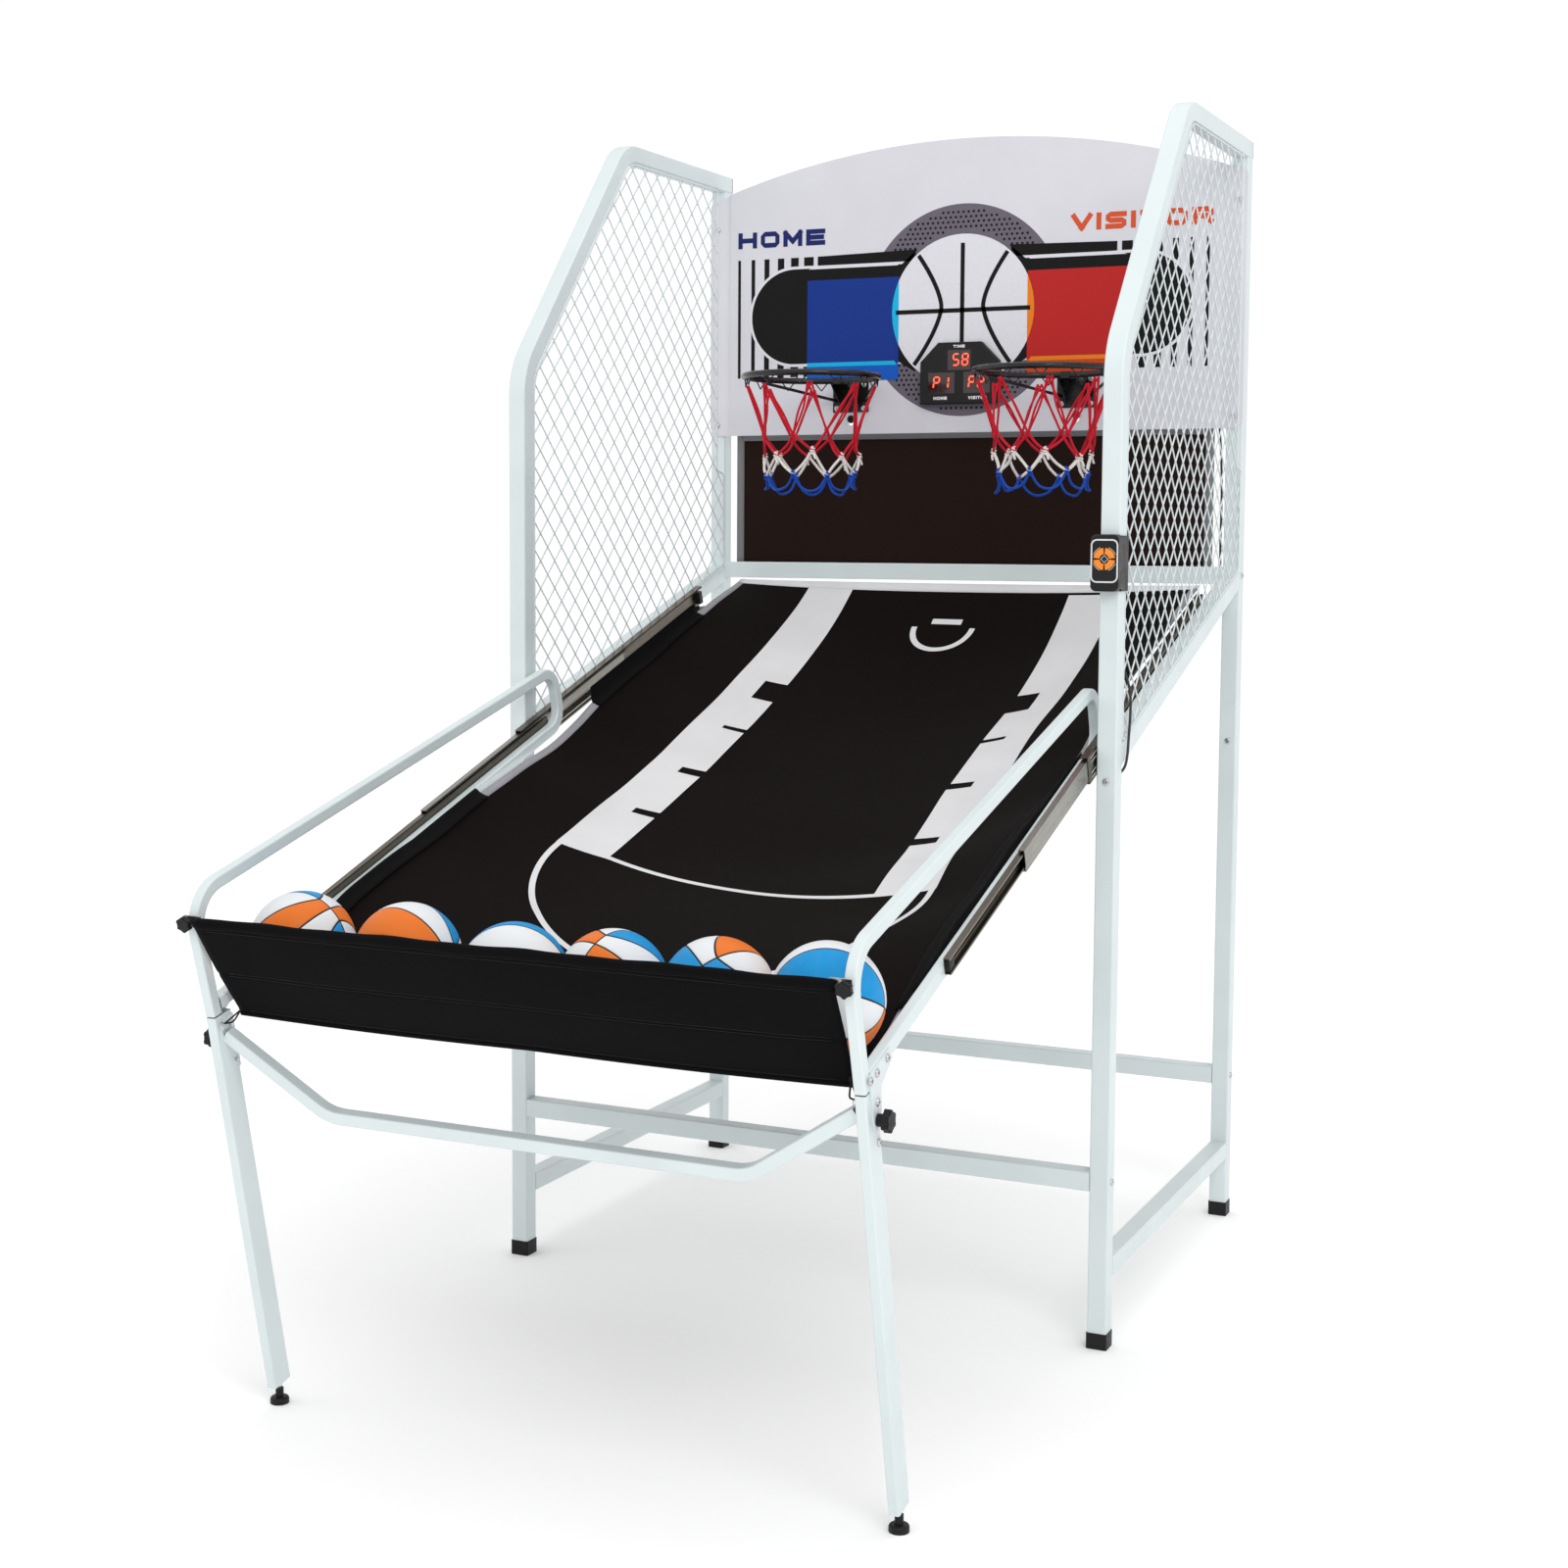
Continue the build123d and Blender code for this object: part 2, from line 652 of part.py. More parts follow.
def guard_corner():
    """Where the centre lines of guard post and handrail meet."""
    foot = on_post(0, GUARD_DEPTH / 2)
    rise = tan(radians(HANDRAIL_DEG))
    share = (handrail_z(foot[0]) - foot[1]) / (POST_UP[1] - rise * POST_UP[0])
    return foot[0] + share * POST_UP[0], foot[1] + share * POST_UP[1]


def rail_front_end():
    """Start of the side rail's centre line, just behind the guard post."""
    slope = tan(radians(RAMP_DEG))
    line_z = RAMP_Z + RAIL_RISE / cos(radians(RAMP_DEG))
    y, z = on_post(0, GUARD_DEPTH + 1.5)
    share = (line_z + slope * (y - POST_FRONT) - z) / (POST_UP[1] - slope * POST_UP[0])
    return y + share * POST_UP[0], z + share * POST_UP[1]


def guard_loop(side):
    """One bent tube: guard post, handrail, rear turn and side rail."""
    x = SIDES[side] * GUARD_X
    turn = radians((RAMP_DEG + HANDRAIL_DEG) / 2)
    top = (HAIRPIN_Y, handrail_z(HAIRPIN_Y))
    slope = tan(radians(RAMP_DEG))
    line_z = RAMP_Z + RAIL_RISE / cos(radians(RAMP_DEG))
    drop = (top[1] - line_z - slope * (top[0] - POST_FRONT)) / (cos(turn) + slope * sin(turn))
    low = (top[0] + drop * sin(turn), top[1] - drop * cos(turn))
    points = [on_post(0, GUARD_DEPTH / 2), guard_corner(), top, low, rail_front_end()]
    path = FilletPolyline([(x, y, z) for y, z in points], radius=[58, 38, 38])
    loop = hollow_run(path, (1, 0, 0), GUARD_WIDTH, GUARD_DEPTH)
    loop = drilled(loop, [knob_one_seat(side)], 14)
    return drilled(loop, plate_bolts(side)[:3], 8)


LEG_DOWN = (sin(radians(LEG_LEAN)), -cos(radians(LEG_LEAN)))
LEG_BACK = (cos(radians(LEG_LEAN)), sin(radians(LEG_LEAN)))
PIVOT_DOWN = 21.0  # leg pivot below the top of the leg
PIVOT_BACK = 28.7  # leg pivot behind the front face of the leg
LEG_BOTTOM = 28.0


def on_leg(down, back):
    """Y and Z on a leg, from its front edge at the seam."""
    y = SEAM_EDGE[0] + down * LEG_DOWN[0] + back * LEG_BACK[0]
    z = SEAM_EDGE[1] + down * LEG_DOWN[1] + back * LEG_BACK[1]
    return y, z


PIVOT = on_leg(PIVOT_DOWN, PIVOT_BACK)
PLATE = 2.5
KNOB_TWO_DOWN = 44.0


def front_plate_outline():
    """Bracket plate outline: along the rail's end, down over the pivot to the lock knob."""
    rail_start = rail_front_end()
    slope = radians(RAMP_DEG)

    def on_rail(along, rise):
        y = rail_start[0] + along * cos(slope) - rise * sin(slope)
        z = rail_start[1] + along * sin(slope) + rise * cos(slope)
        return y, z

    return [
        on_rail(-8, 5),
        on_rail(4, 8),
        on_rail(62, 8),
        on_rail(66, -8),
        on_leg(6, LEG_DEPTH + 7),
        on_leg(KNOB_TWO_DOWN + 10, LEG_DEPTH - 1),
        on_leg(KNOB_TWO_DOWN + 13, 16),
        on_leg(PIVOT_DOWN - 6, 12),
    ]


def plate_bolts(side):
    """Three bolts into the guard loop, then the leg pivot bolt."""
    sign = SIDES[side]
    face = sign * (FRAME_OUTER + PLATE)
    rail_start = rail_front_end()
    slope = radians(RAMP_DEG)
    seats = [(rail_start[0] + a * cos(slope), rail_start[1] + a * sin(slope)) for a in (14, 50)]
    seats.append(on_post(14, GUARD_DEPTH - 6))
    seats.append(PIVOT)
    return [((face, *seat), (sign, 0, 0)) for seat in seats]


def front_plate(side):
    sign = SIDES[side]
    inner, outer = sorted((sign * FRAME_OUTER, sign * (FRAME_OUTER + PLATE)))
    plate = slab_yz(front_plate_outline(), inner, outer)
    plate = drilled(plate, plate_bolts(side), 8)
    return drilled(plate, [knob_two_seat(side)], 8)


KNOB_ONE_UP = 149.0
TAB = 2.0  # flattened end of the net rod


def knob_one_seat(side):
    """Seat of the knob that clamps the net rod's end to the guard post."""
    normal = (0, -POST_BACK[0], -POST_BACK[1])
    return (SIDES[side] * GUARD_X, *on_post(KNOB_ONE_UP, -TAB)), normal


def knob_one(side):
    point, normal = knob_one_seat(side)
    return star_knob(point, normal, 11.8, 14.0, BOLT_RADIUS - 0.05, 10)


def knob_two_seat(side):
    """Seat of the knob that locks the leg, on the bracket plate."""
    sign = SIDES[side]
    seat = on_leg(KNOB_TWO_DOWN, PIVOT_BACK - 3)
    return (sign * (FRAME_OUTER + PLATE), *seat), (sign, 0, 0)


def knob_two(side):
    point, normal = knob_two_seat(side)
    return star_knob(point, normal, 15.0, 19.0, BOLT_RADIUS - 0.05, PLATE - 0.1)


NET_HALF = FRAME_OUTER - GUARD_WIDTH - 15
NET_ROD = 4.5
NET_HEM = 8.0


def net_rod():
    """Steel rod through the top hem of the front net, flattened at both ends."""
    y, z = on_post(KNOB_ONE_UP, -TAB - NET_ROD + 2)
    bar = rod((-FRAME_OUTER + 26, y, z), (FRAME_OUTER - 26, y, z), NET_ROD)
    for sign in SIDES.values():
        corners = [on_post(KNOB_ONE_UP + u, b) for u, b in ((-9, -TAB), (9, -TAB), (9, 0), (-9, 0))]
        tab = slab_yz(corners, *sorted((sign * (FRAME_OUTER - 30), sign * (FRAME_OUTER - 1))))
        bar += tab
    bar = drilled(bar, [knob_one_seat(side) for side in SIDES], 6)
    return bar


NET_FOOT = (POST_FRONT - 852.0, 614.0)


def front_net():
    """The cloth panel in front of the balls, hemmed round its rod."""
    y, z = on_post(KNOB_ONE_UP, -TAB - NET_ROD + 2)
    hem_half = FRAME_OUTER - 32
    bore = rod((-hem_half - 20, y, z), (hem_half + 20, y, z), NET_ROD + 0.05)
    hem = rod((-hem_half, y, z), (hem_half, y, z), NET_HEM) - bore
    foot_y, foot_z = NET_FOOT
    outline = [(y + 2, z - 6), (y + 6, z - 6), (foot_y + 4, foot_z), (foot_y, foot_z)]
    panel = slab_yz(outline, -NET_HALF, NET_HALF) - bore
    return hem + panel


def net_tie(side):
    """Short elastic that holds a lower corner of the front net to the leg."""
    sign = SIDES[side]
    start = (sign * (NET_HALF - 6), NET_FOOT[0] - 6, NET_FOOT[1] + 5)
    return rod(start, (sign * (GUARD_X - GUARD_WIDTH / 2 - 1.8), *on_leg(17, 5)), 1.5)


def playfield():
    """The cloth of the ramp, with the trough that it makes for the balls at its foot."""
    sheet = 3.0
    half = FRAME_OUTER - GUARD_WIDTH - 11
    top_y = REAR_FACE - 4
    upper = [
        (top_y, RAMP_CROSS_Z - 34),
        (POST_FRONT + 612, 1070),
        (POST_FRONT + 400, 966),
        (POST_FRONT + 187, 884),
        (POST_FRONT - 193, 763),
        (POST_FRONT - 579, 666),
        (POST_FRONT - 700, 638),
        (POST_FRONT - 770, 620),
        (POST_FRONT - 800, 613),
        (NET_FOOT[0] + 8, NET_FOOT[1] - 3),
    ]
    lower = [(y, z - sheet) for y, z in reversed(upper)]
    return slab_yz(upper + lower, -half, half)


# ---------------------------------------------------------------- legs
LEG_BOLT_DOWN = 76.0
BRACE = 19.0
BRACE_HALF = 327.0
BRACE_DROP = 140.0  # the brace's lowest run below the top of the leg


def leg_bolt_seat(side):
    """Bolt through the leg and the brace's flange, with its head outside."""
    sign = SIDES[side]
    return (sign * FRAME_OUTER, *on_leg(LEG_BOLT_DOWN, PIVOT_BACK)), (sign, 0, 0)


def leg(side):
    x = SIDES[side] * GUARD_X
    length = (SEAM_EDGE[1] - LEG_BOTTOM) / cos(radians(LEG_LEAN))
    top, foot = on_leg(SEAM_GAP, LEG_DEPTH / 2), on_leg(length, LEG_DEPTH / 2)
    tube = straight_tube((x, *top), (x, *foot), (1, 0, 0), GUARD_WIDTH, LEG_DEPTH)
    base = on_leg(length, LEG_DEPTH / 2)
    plug_top = on_leg(length - 10, LEG_DEPTH / 2)
    plug = straight_plug((x, *plug_top), (x, *base))
    stud = rod((x, *base), (x, base[0] + 6 * LEG_DOWN[0], base[1] + 6 * LEG_DOWN[1]), 4)
    tube = tube + plug + stud
    tube = drilled(tube, [plate_bolts(side)[3]], 40)
    return drilled(tube, [leg_bolt_seat(side)], 40)


def straight_plug(start, end):
    """Solid end of a leg, which holds the levelling foot's stud."""
    path = Line(start, end)
    section = Plane(origin=path @ 0, x_dir=(1, 0, 0), z_dir=path % 0)
    return sweep(section * Rectangle(GUARD_WIDTH - 2 * WALL, LEG_DEPTH - 2 * WALL), path=path)


def leg_foot(side):
    """Round levelling foot under a leg."""
    x = SIDES[side] * GUARD_X
    length = (SEAM_EDGE[1] - LEG_BOTTOM) / cos(radians(LEG_LEAN))
    y, z = on_leg(length + 6, LEG_DEPTH / 2)
    pad = Cylinder(14, 10, align=(Align.CENTER, Align.CENTER, Align.MIN))
    pad = fillet(pad.faces().sort_by(Axis.Z)[-1].edges(), 4)
    neck = Pos(0, 0, 10) * Cylinder(6, max(z - 10 - 3.2, 1), align=(Align.CENTER, Align.CENTER, Align.MIN))
    return Pos(x, y, 0) * (pad + neck)


def leg_brace():
    """Bent cross brace with a flange on each leg."""
    inner = FRAME_OUTER - GUARD_WIDTH - PLATE
    ends = [(s * (inner - 1), *on_leg(PIVOT_DOWN + 12, PIVOT_BACK - 9)) for s in (-1, 1)]
    bends = [(s * BRACE_HALF, *on_leg(BRACE_DROP, PIVOT_BACK - 9)) for s in (-1, 1)]
    path = FilletPolyline(ends[0], bends[0], bends[1], ends[1], radius=[70, 70])
    across = (0, *LEG_BACK)
    brace = hollow_run(path, across, BRACE, BRACE, corner=2.5)
    keep = block(-inner, inner, POST_FRONT - 1200, POST_FRONT, 0, CAGE_TOP)
    brace = brace & keep
    for side, sign in SIDES.items():
        corners = [
            on_leg(PIVOT_DOWN - 14, PIVOT_BACK - 8),
            on_leg(PIVOT_DOWN - 14, PIVOT_BACK + 8),
            on_leg(LEG_BOLT_DOWN + 12, PIVOT_BACK + 8),
            on_leg(LEG_BOLT_DOWN + 12, PIVOT_BACK - 8),
            on_leg(LEG_BOLT_DOWN - 30, PIVOT_BACK - 20),
            on_leg(PIVOT_DOWN + 4, PIVOT_BACK - 20),
        ]
        flange = slab_yz(corners, *sorted((sign * inner, sign * (inner + PLATE))))
        brace += flange
        brace = drilled(brace, [plate_bolts(side)[3], leg_bolt_seat(side)], 40)
    return brace


# ---------------------------------------------------------------- balls
# X, distance in front of the front faces of the posts, Z
BALL_PLACES = (
    (-396.0, 812.0, 711.0),
    (-222.0, 806.0, 707.0),
    (-50.0, 805.0, 693.0),
    (103.5, 806.0, 696.0),
    (256.5, 800.0, 697.0),
    (409.3, 794.0, 703.0),
)


def ball(number):
    x, ahead, z = BALL_PLACES[number]
    return Pos(x, POST_FRONT - ahead, z) * (Sphere(BALL_RADIUS) - Sphere(BALL_RADIUS - BALL_WALL))


# ---------------------------------------------------------------- start keypad and its cable
KEYPAD_X = HALF - TUBE / 2 - 2
KEYPAD_Z = 1254.0
KEYPAD_WIDTH = 45.0
KEYPAD_HEIGHT = 88.0
KEYPAD_DEPTH = 24.0
BUTTON_INNER = 7.5
BUTTON_OUTER = 17.0
BUTTON_Z = KEYPAD_Z + 6
BUTTON_GAP = 12.0  # degrees left free beside each button
CABLE_RADIUS = 2.2


def button_sector(name, inner, outer, gap, depth_from, depth_to):
    """A ring sector that faces the player; name gives its direction."""
    middle = {"right": 45, "left": 225, "up": 135, "down": 315}[name]
    a0, a1 = radians(middle - 45 + gap / 2), radians(middle + 45 - gap / 2)
    am = radians(middle)

    def at(radius, angle):
        return radius * cos(angle), radius * sin(angle)

    sector = make_face(
        Line(at(inner, a0), at(outer, a0))
        + ThreePointArc(at(outer, a0), at(outer, am), at(outer, a1))
        + Line(at(outer, a1), at(inner, a1))
        + ThreePointArc(at(inner, a1), at(inner, am), at(inner, a0))
    )
    seat = Plane(origin=(KEYPAD_X, depth_from, BUTTON_Z), x_dir=(1, 0, 0), z_dir=(0, -1, 0))
    return seat * extrude(sector, amount=depth_from - depth_to)


def keypad_housing():
    """Control box on the front of the right upright, with a side clip."""
    face = POST_FRONT - KEYPAD_DEPTH
    size = Box(KEYPAD_WIDTH, KEYPAD_DEPTH, KEYPAD_HEIGHT, align=(Align.CENTER, Align.MIN, Align.CENTER))
    size = fillet(size.edges().filter_by(Axis.Y), 9)
    size = chamfer(size.faces().sort_by(Axis.Y)[0].edges(), 2)
    body = Pos(KEYPAD_X, face, KEYPAD_Z) * size
    for name in ("right", "left", "up", "down"):
        gap = BUTTON_GAP - 3
        body -= button_sector(name, BUTTON_INNER - 0.4, BUTTON_OUTER + 0.4, gap, face + 6, face - 1)
    clip_rear = POST_FRONT + TUBE + 4
    clip = block(HALF + 0.1, HALF + 3.0, POST_FRONT - 1, clip_rear, KEYPAD_Z - 44, KEYPAD_Z + 42)
    return body + clip


def keypad_button(name):
    face = POST_FRONT - KEYPAD_DEPTH
    cap = button_sector(name, BUTTON_INNER, BUTTON_OUTER, BUTTON_GAP, face + 4, face - 1.5)
    return cap


# Out of the upright, through the mesh, round the ramp tube and along under it,
# up behind the ramp cross tube and across the back of the board to the scoreboard.
CABLE_ROUTE = (
    (540, 95.5, 1222),
    (540, 106, 1221),
    (539, 112, 1203),
    (538, 115, 1165),
    (537, 119, 1125),
    (540, 121, 1098),
    (549, 121.5, 1076),
    (557, 121, 1050),
    (558, 119, 1015),
    (557.5, 112, 977),
    (558, 106, 949),
    (555, 101, 930),
    (545, 99, 921),
    (533, 104, 921),
    (527, 125, 931),
    (526, 165, 952),
    (528, 225, 973),
    (530, 285, 993),
    (529, 345, 1014),
    (531, 405, 1034),
    (530, 465, 1056),
    (528, 525, 1075),
    (529, 585, 1097),
    (527, 645, 1116),
    (524, 705, 1138),
    (518, 765, 1156),
    (511, 820, 1170),
    (508, 868, 1182),
    (507, 896, 1200),
    (506, 895, 1236),
    (506, 891, 1290),
    (508, 887, 1345),
    (509, 880, 1400),
    (508, 874, 1455),
    (505, 868, 1510),
    (497, 862, 1556),
    (476, 857, 1592),
    (438, 854, 1607),
    (385, 853.5, 1603),
    (325, 853, 1605),
    (265, 853.5, 1604),
    (205, 853, 1606),
    (145, 854, 1603),
    (90, 856, 1605),
    (45, 861, 1603),
    (18, 868, 1604),
    (4, 862, 1604),
    (2, 848.5, 1604),
)


def tangent_radii(points, share=0.45):
    """Corner radii of a cord's route: as large as the two runs at each corner allow."""
    radii = []
    for before, corner, after in zip(points, points[1:], points[2:]):
        arrive = Vector(*corner) - Vector(*before)
        leave = Vector(*after) - Vector(*corner)
        shorter = min(arrive.length, leave.length)
        radii.append(share * shorter / tan(radians(arrive.get_angle(leave)) / 2))
    return radii


def keypad_cable():
    radii = tangent_radii(CABLE_ROUTE)
    path = FilletPolyline(*CABLE_ROUTE, radius=radii)
    section = Plane(origin=path @ 0, z_dir=path % 0) * Circle(CABLE_RADIUS)
    cable = sweep(section, path=path)
    expected = pi * CABLE_RADIUS**2 * path.length
    print("cable radii", [round(r, 1) for r in radii])
    print("cable length", round(path.length), "volume", round(cable.volume), "expected", round(expected))
    return cable


def export_all():
    rows = ("front", "rear")
    for side in SIDES:
        for row in rows:
            export(f"base_post_{row}_{side}", base_post(side, row))
        export(f"cage_front_tube_{side}", cage_front_tube(side))
        export(f"cage_rear_upright_{side}", cage_rear_upright(side))
        export(f"cage_ramp_tube_{side}", cage_ramp_tube(side))
        export(f"cage_mesh_{side}", *mesh_panel(side))
        export(f"hoop_{side}", hoop(side))
        export(f"hoop_net_{side}", hoop_net(side))
        export(f"slide_outer_{side}", slide_outer(side))
        export(f"guard_loop_{side}", guard_loop(side))
        export(f"leg_{side}", leg(side))
        export(f"leg_foot_{side}", leg_foot(side))
        export(f"net_knob_{side}", knob_one(side))
        export(f"leg_knob_{side}", knob_two(side))
    export("post_caps", *[post_cap(side, row) for side in SIDES for row in rows])
    rails = [base_side_rail(side) for side in SIDES]
    export("base_rails", *rails, *[base_cross_bar(row) for row in rows])
    export("tube_end_plugs", *[end_plug(side) for side in SIDES])
    export("ramp_cross_tube", ramp_cross_tube())
    export("backboard", backboard())
    export("scoreboard_housing", scoreboard())
    export("score_windows", *score_windows())
    export("rear_net", rear_net())
    export("slide_bumpers", *[slide_bumper(side) for side in SIDES])
    export("slide_middles", *[slide_middle(side) for side in SIDES])
    export("slide_inners", *[slide_inner(side) for side in SIDES])
    export("front_plates", *[front_plate(side) for side in SIDES])
    export("net_rod", net_rod())
    export("front_net", front_net())
    export("net_ties", *[net_tie(side) for side in SIDES])
    export("playfield_cloth", playfield())
    export("leg_brace", leg_brace())
    for number in range(len(BALL_PLACES)):
        export(f"ball_{number + 1}", ball(number))
    export("keypad_housing", keypad_housing())
    export("keypad_cable", keypad_cable())
    for name in ("up", "right", "down", "left"):
        export(f"keypad_button_{name}", keypad_button(name))
    short = [bolt(point, out, 6) for point, out in seam_bolts() + board_bolts()]
    short += [bolt(point, out, 10) for point, out in hoop_bolts()]
    through = [bolt(point, out, TUBE) for point, out in bar_bolts() + ramp_tube_bolts()]
    export("frame_bolts", *short, *through)
    plate = [bolt(point, out, 6) for side in SIDES for point, out in plate_bolts(side)[:3]]
    pivots = [bolt(*plate_bolts(side)[3], 24) for side in SIDES]
    export("plate_bolts", *plate, *pivots)
    export("leg_bolts", *[bolt(*leg_bolt_seat(side), 22) for side in SIDES])


os.makedirs("parts", exist_ok=True)
export_all()
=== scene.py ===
import bpy
import bmesh
import json
import random
from math import acos, cos, degrees, hypot, pi, radians, sin, tan
from mathutils import Euler, Matrix, Vector


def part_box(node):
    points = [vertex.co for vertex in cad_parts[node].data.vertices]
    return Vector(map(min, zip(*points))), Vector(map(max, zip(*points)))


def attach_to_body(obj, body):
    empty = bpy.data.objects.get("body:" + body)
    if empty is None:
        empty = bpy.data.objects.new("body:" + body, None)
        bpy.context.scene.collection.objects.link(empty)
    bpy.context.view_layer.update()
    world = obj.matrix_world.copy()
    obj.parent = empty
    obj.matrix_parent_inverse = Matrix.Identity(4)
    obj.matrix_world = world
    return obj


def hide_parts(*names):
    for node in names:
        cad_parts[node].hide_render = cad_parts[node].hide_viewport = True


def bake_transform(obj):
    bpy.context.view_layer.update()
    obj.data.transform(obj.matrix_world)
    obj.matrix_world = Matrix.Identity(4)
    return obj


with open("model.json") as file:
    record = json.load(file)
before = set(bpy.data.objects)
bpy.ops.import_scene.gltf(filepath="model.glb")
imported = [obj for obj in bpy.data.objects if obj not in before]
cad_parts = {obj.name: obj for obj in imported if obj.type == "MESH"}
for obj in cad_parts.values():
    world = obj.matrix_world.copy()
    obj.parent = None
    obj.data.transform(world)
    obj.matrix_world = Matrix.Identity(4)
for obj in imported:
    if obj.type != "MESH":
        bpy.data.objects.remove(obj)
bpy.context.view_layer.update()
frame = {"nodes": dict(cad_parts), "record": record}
NODES = frame["nodes"]
RECORD = frame["record"]

MM = 0.001
SLOPE = radians(19)  # of the ramp and its slides
SIDES = {"left": -1, "right": 1}
BODY_OF = {n: body for body, names in RECORD["behaviour"]["bodies"].items() for n in names}

# The front faces of the front posts are the plane that the machine is measured from.
POST_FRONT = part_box("base_post_front_left")[0].y


# ---- shader building
class Shader:
    """One procedural material and short ways to add its nodes."""

    def __init__(self, name):
        self.material = bpy.data.materials.new(name)
        self.material.use_nodes = True
        self.tree = self.material.node_tree
        self.surface = self.tree.nodes["Principled BSDF"]
        self.bumps = None
        self.place = self.tree.nodes.new("ShaderNodeTexCoord").outputs["Object"]

    def link(self, source, target):
        self.tree.links.new(source, target)

    def put(self, socket, value):
        """Join a node's output to a socket, or set a plain value there."""
        if hasattr(value, "is_linked"):
            self.link(value, socket)
        elif isinstance(value, (tuple, list)) and len(value) == 3 and socket.type == "RGBA":
            socket.default_value = (*value, 1)
        else:
            socket.default_value = value

    def set(self, **values):
        for key, value in values.items():
            self.put(self.surface.inputs[key.replace("_", " ")], value)

    def math(self, kind, a, b=0.0, c=None):
        node = self.tree.nodes.new("ShaderNodeMath")
        node.operation = kind
        self.put(node.inputs[0], a)
        self.put(node.inputs[1], b)
        if c is not None:
            self.put(node.inputs[2], c)
        return node.outputs[0]

    def split(self, vector=None):
        """The X, Y and Z of a vector, or of the place on the piece."""
        node = self.tree.nodes.new("ShaderNodeSeparateXYZ")
        self.link(vector or self.place, node.inputs[0])
        return node.outputs[0], node.outputs[1], node.outputs[2]

    def stretched(self, scale=(1, 1, 1), turn=(0, 0, 0)):
        """The place on the piece, turned and then scaled along each axis."""
        turned = self.tree.nodes.new("ShaderNodeMapping")
        turned.inputs["Rotation"].default_value = turn
        self.link(self.place, turned.inputs["Vector"])
        node = self.tree.nodes.new("ShaderNodeMapping")
        node.inputs["Scale"].default_value = scale
        self.link(turned.outputs[0], node.inputs["Vector"])
        return node.outputs[0]

    def noise(self, scale, detail=3.0, rough=0.5, at=None):
        node = self.tree.nodes.new("ShaderNodeTexNoise")
        node.inputs["Scale"].default_value = scale
        node.inputs["Detail"].default_value = detail
        node.inputs["Roughness"].default_value = rough
        self.link(at or self.place, node.inputs["Vector"])
        return node.outputs["Fac"]

    def cells(self, scale):
        node = self.tree.nodes.new("ShaderNodeTexVoronoi")
        node.inputs["Scale"].default_value = scale
        self.link(self.place, node.inputs["Vector"])
        return node.outputs["Distance"]

    def spread(self, value, low, high, out_low=0.0, out_high=1.0):
        """Map a value's low..high to out_low..out_high, held at the ends."""
        node = self.tree.nodes.new("ShaderNodeMapRange")
        self.put(node.inputs["Value"], value)
        for key, number in zip(("From Min", "From Max", "To Min", "To Max"), (low, high, out_low, out_high)):
            node.inputs[key].default_value = number
        return node.outputs[0]

    def mix(self, amount, first, second):
        node = self.tree.nodes.new("ShaderNodeMix")
        node.data_type = "RGBA"
        self.put(node.inputs["Factor"], amount)
        self.put(node.inputs[6], first)
        self.put(node.inputs[7], second)
        return node.outputs[2]

    def tone(self, amount, colour, dark, light):
        """A colour between a darker and a lighter shade of itself."""
        return self.mix(amount, shade(colour, dark), shade(colour, light))

    def wander(self, scale, detail, low, high):
        """A value that drifts between low and high over the surface."""
        return self.spread(self.noise(scale, detail), 0.3, 0.7, low, high)

    def bump(self, height, depth, strength):
        """Add relief; depth is in metres for a height of 0 to 1."""
        node = self.tree.nodes.new("ShaderNodeBump")
        node.inputs["Strength"].default_value = strength
        node.inputs["Distance"].default_value = depth
        self.link(height, node.inputs["Height"])
        if self.bumps is not None:
            self.link(self.bumps, node.inputs["Normal"])
        self.bumps = node.outputs[0]
        self.link(self.bumps, self.surface.inputs["Normal"])


def shade(colour, factor):
    """A colour made darker or lighter."""
    return tuple(min(1.0, c * factor) for c in colour)


def powder_coat(name, colour, rough=0.42):
    """Sprayed and baked powder: orange-peel relief, faint cloudiness, a few dust specks."""
    s = Shader(name)
    cloud = s.noise(7, 3)
    speck = s.spread(s.noise(900, 1), 0.74, 0.80)
    tint = s.tone(s.spread(cloud, 0.3, 0.7), colour, 0.955, 1.02)
    s.set(Base_Color=s.mix(s.math("MULTIPLY", speck, 0.35), tint, shade(colour, 0.7)))
    s.set(Roughness=s.wander(30, 4, rough - 0.06, rough + 0.08))
    s.set(Coat_Weight=0.25, Coat_Roughness=0.3)
    s.bump(s.noise(420, 2, 0.4), 0.00022, 0.5)
    s.bump(s.noise(1600, 1), 0.00005, 0.35)
    return s.material


def moulded_plastic(name, colour, rough=0.5, grain=1500, depth=0.00012):
    """Injection-moulded plastic with an etched grain."""
    s = Shader(name)
    s.set(Base_Color=s.tone(s.noise(25, 3), colour, 0.8, 1.25))
    s.set(Roughness=s.wander(60, 3, rough - 0.08, rough + 0.1), Specular_IOR_Level=0.22)
    s.bump(s.cells(grain), depth, 0.6)
    return s.material


ALONG_RAMP = (-SLOPE, 0, 0)  # turns that lay a pattern's X and Y on the ramp, or on an upright sheet
UPRIGHT = (radians(90), 0, 0)


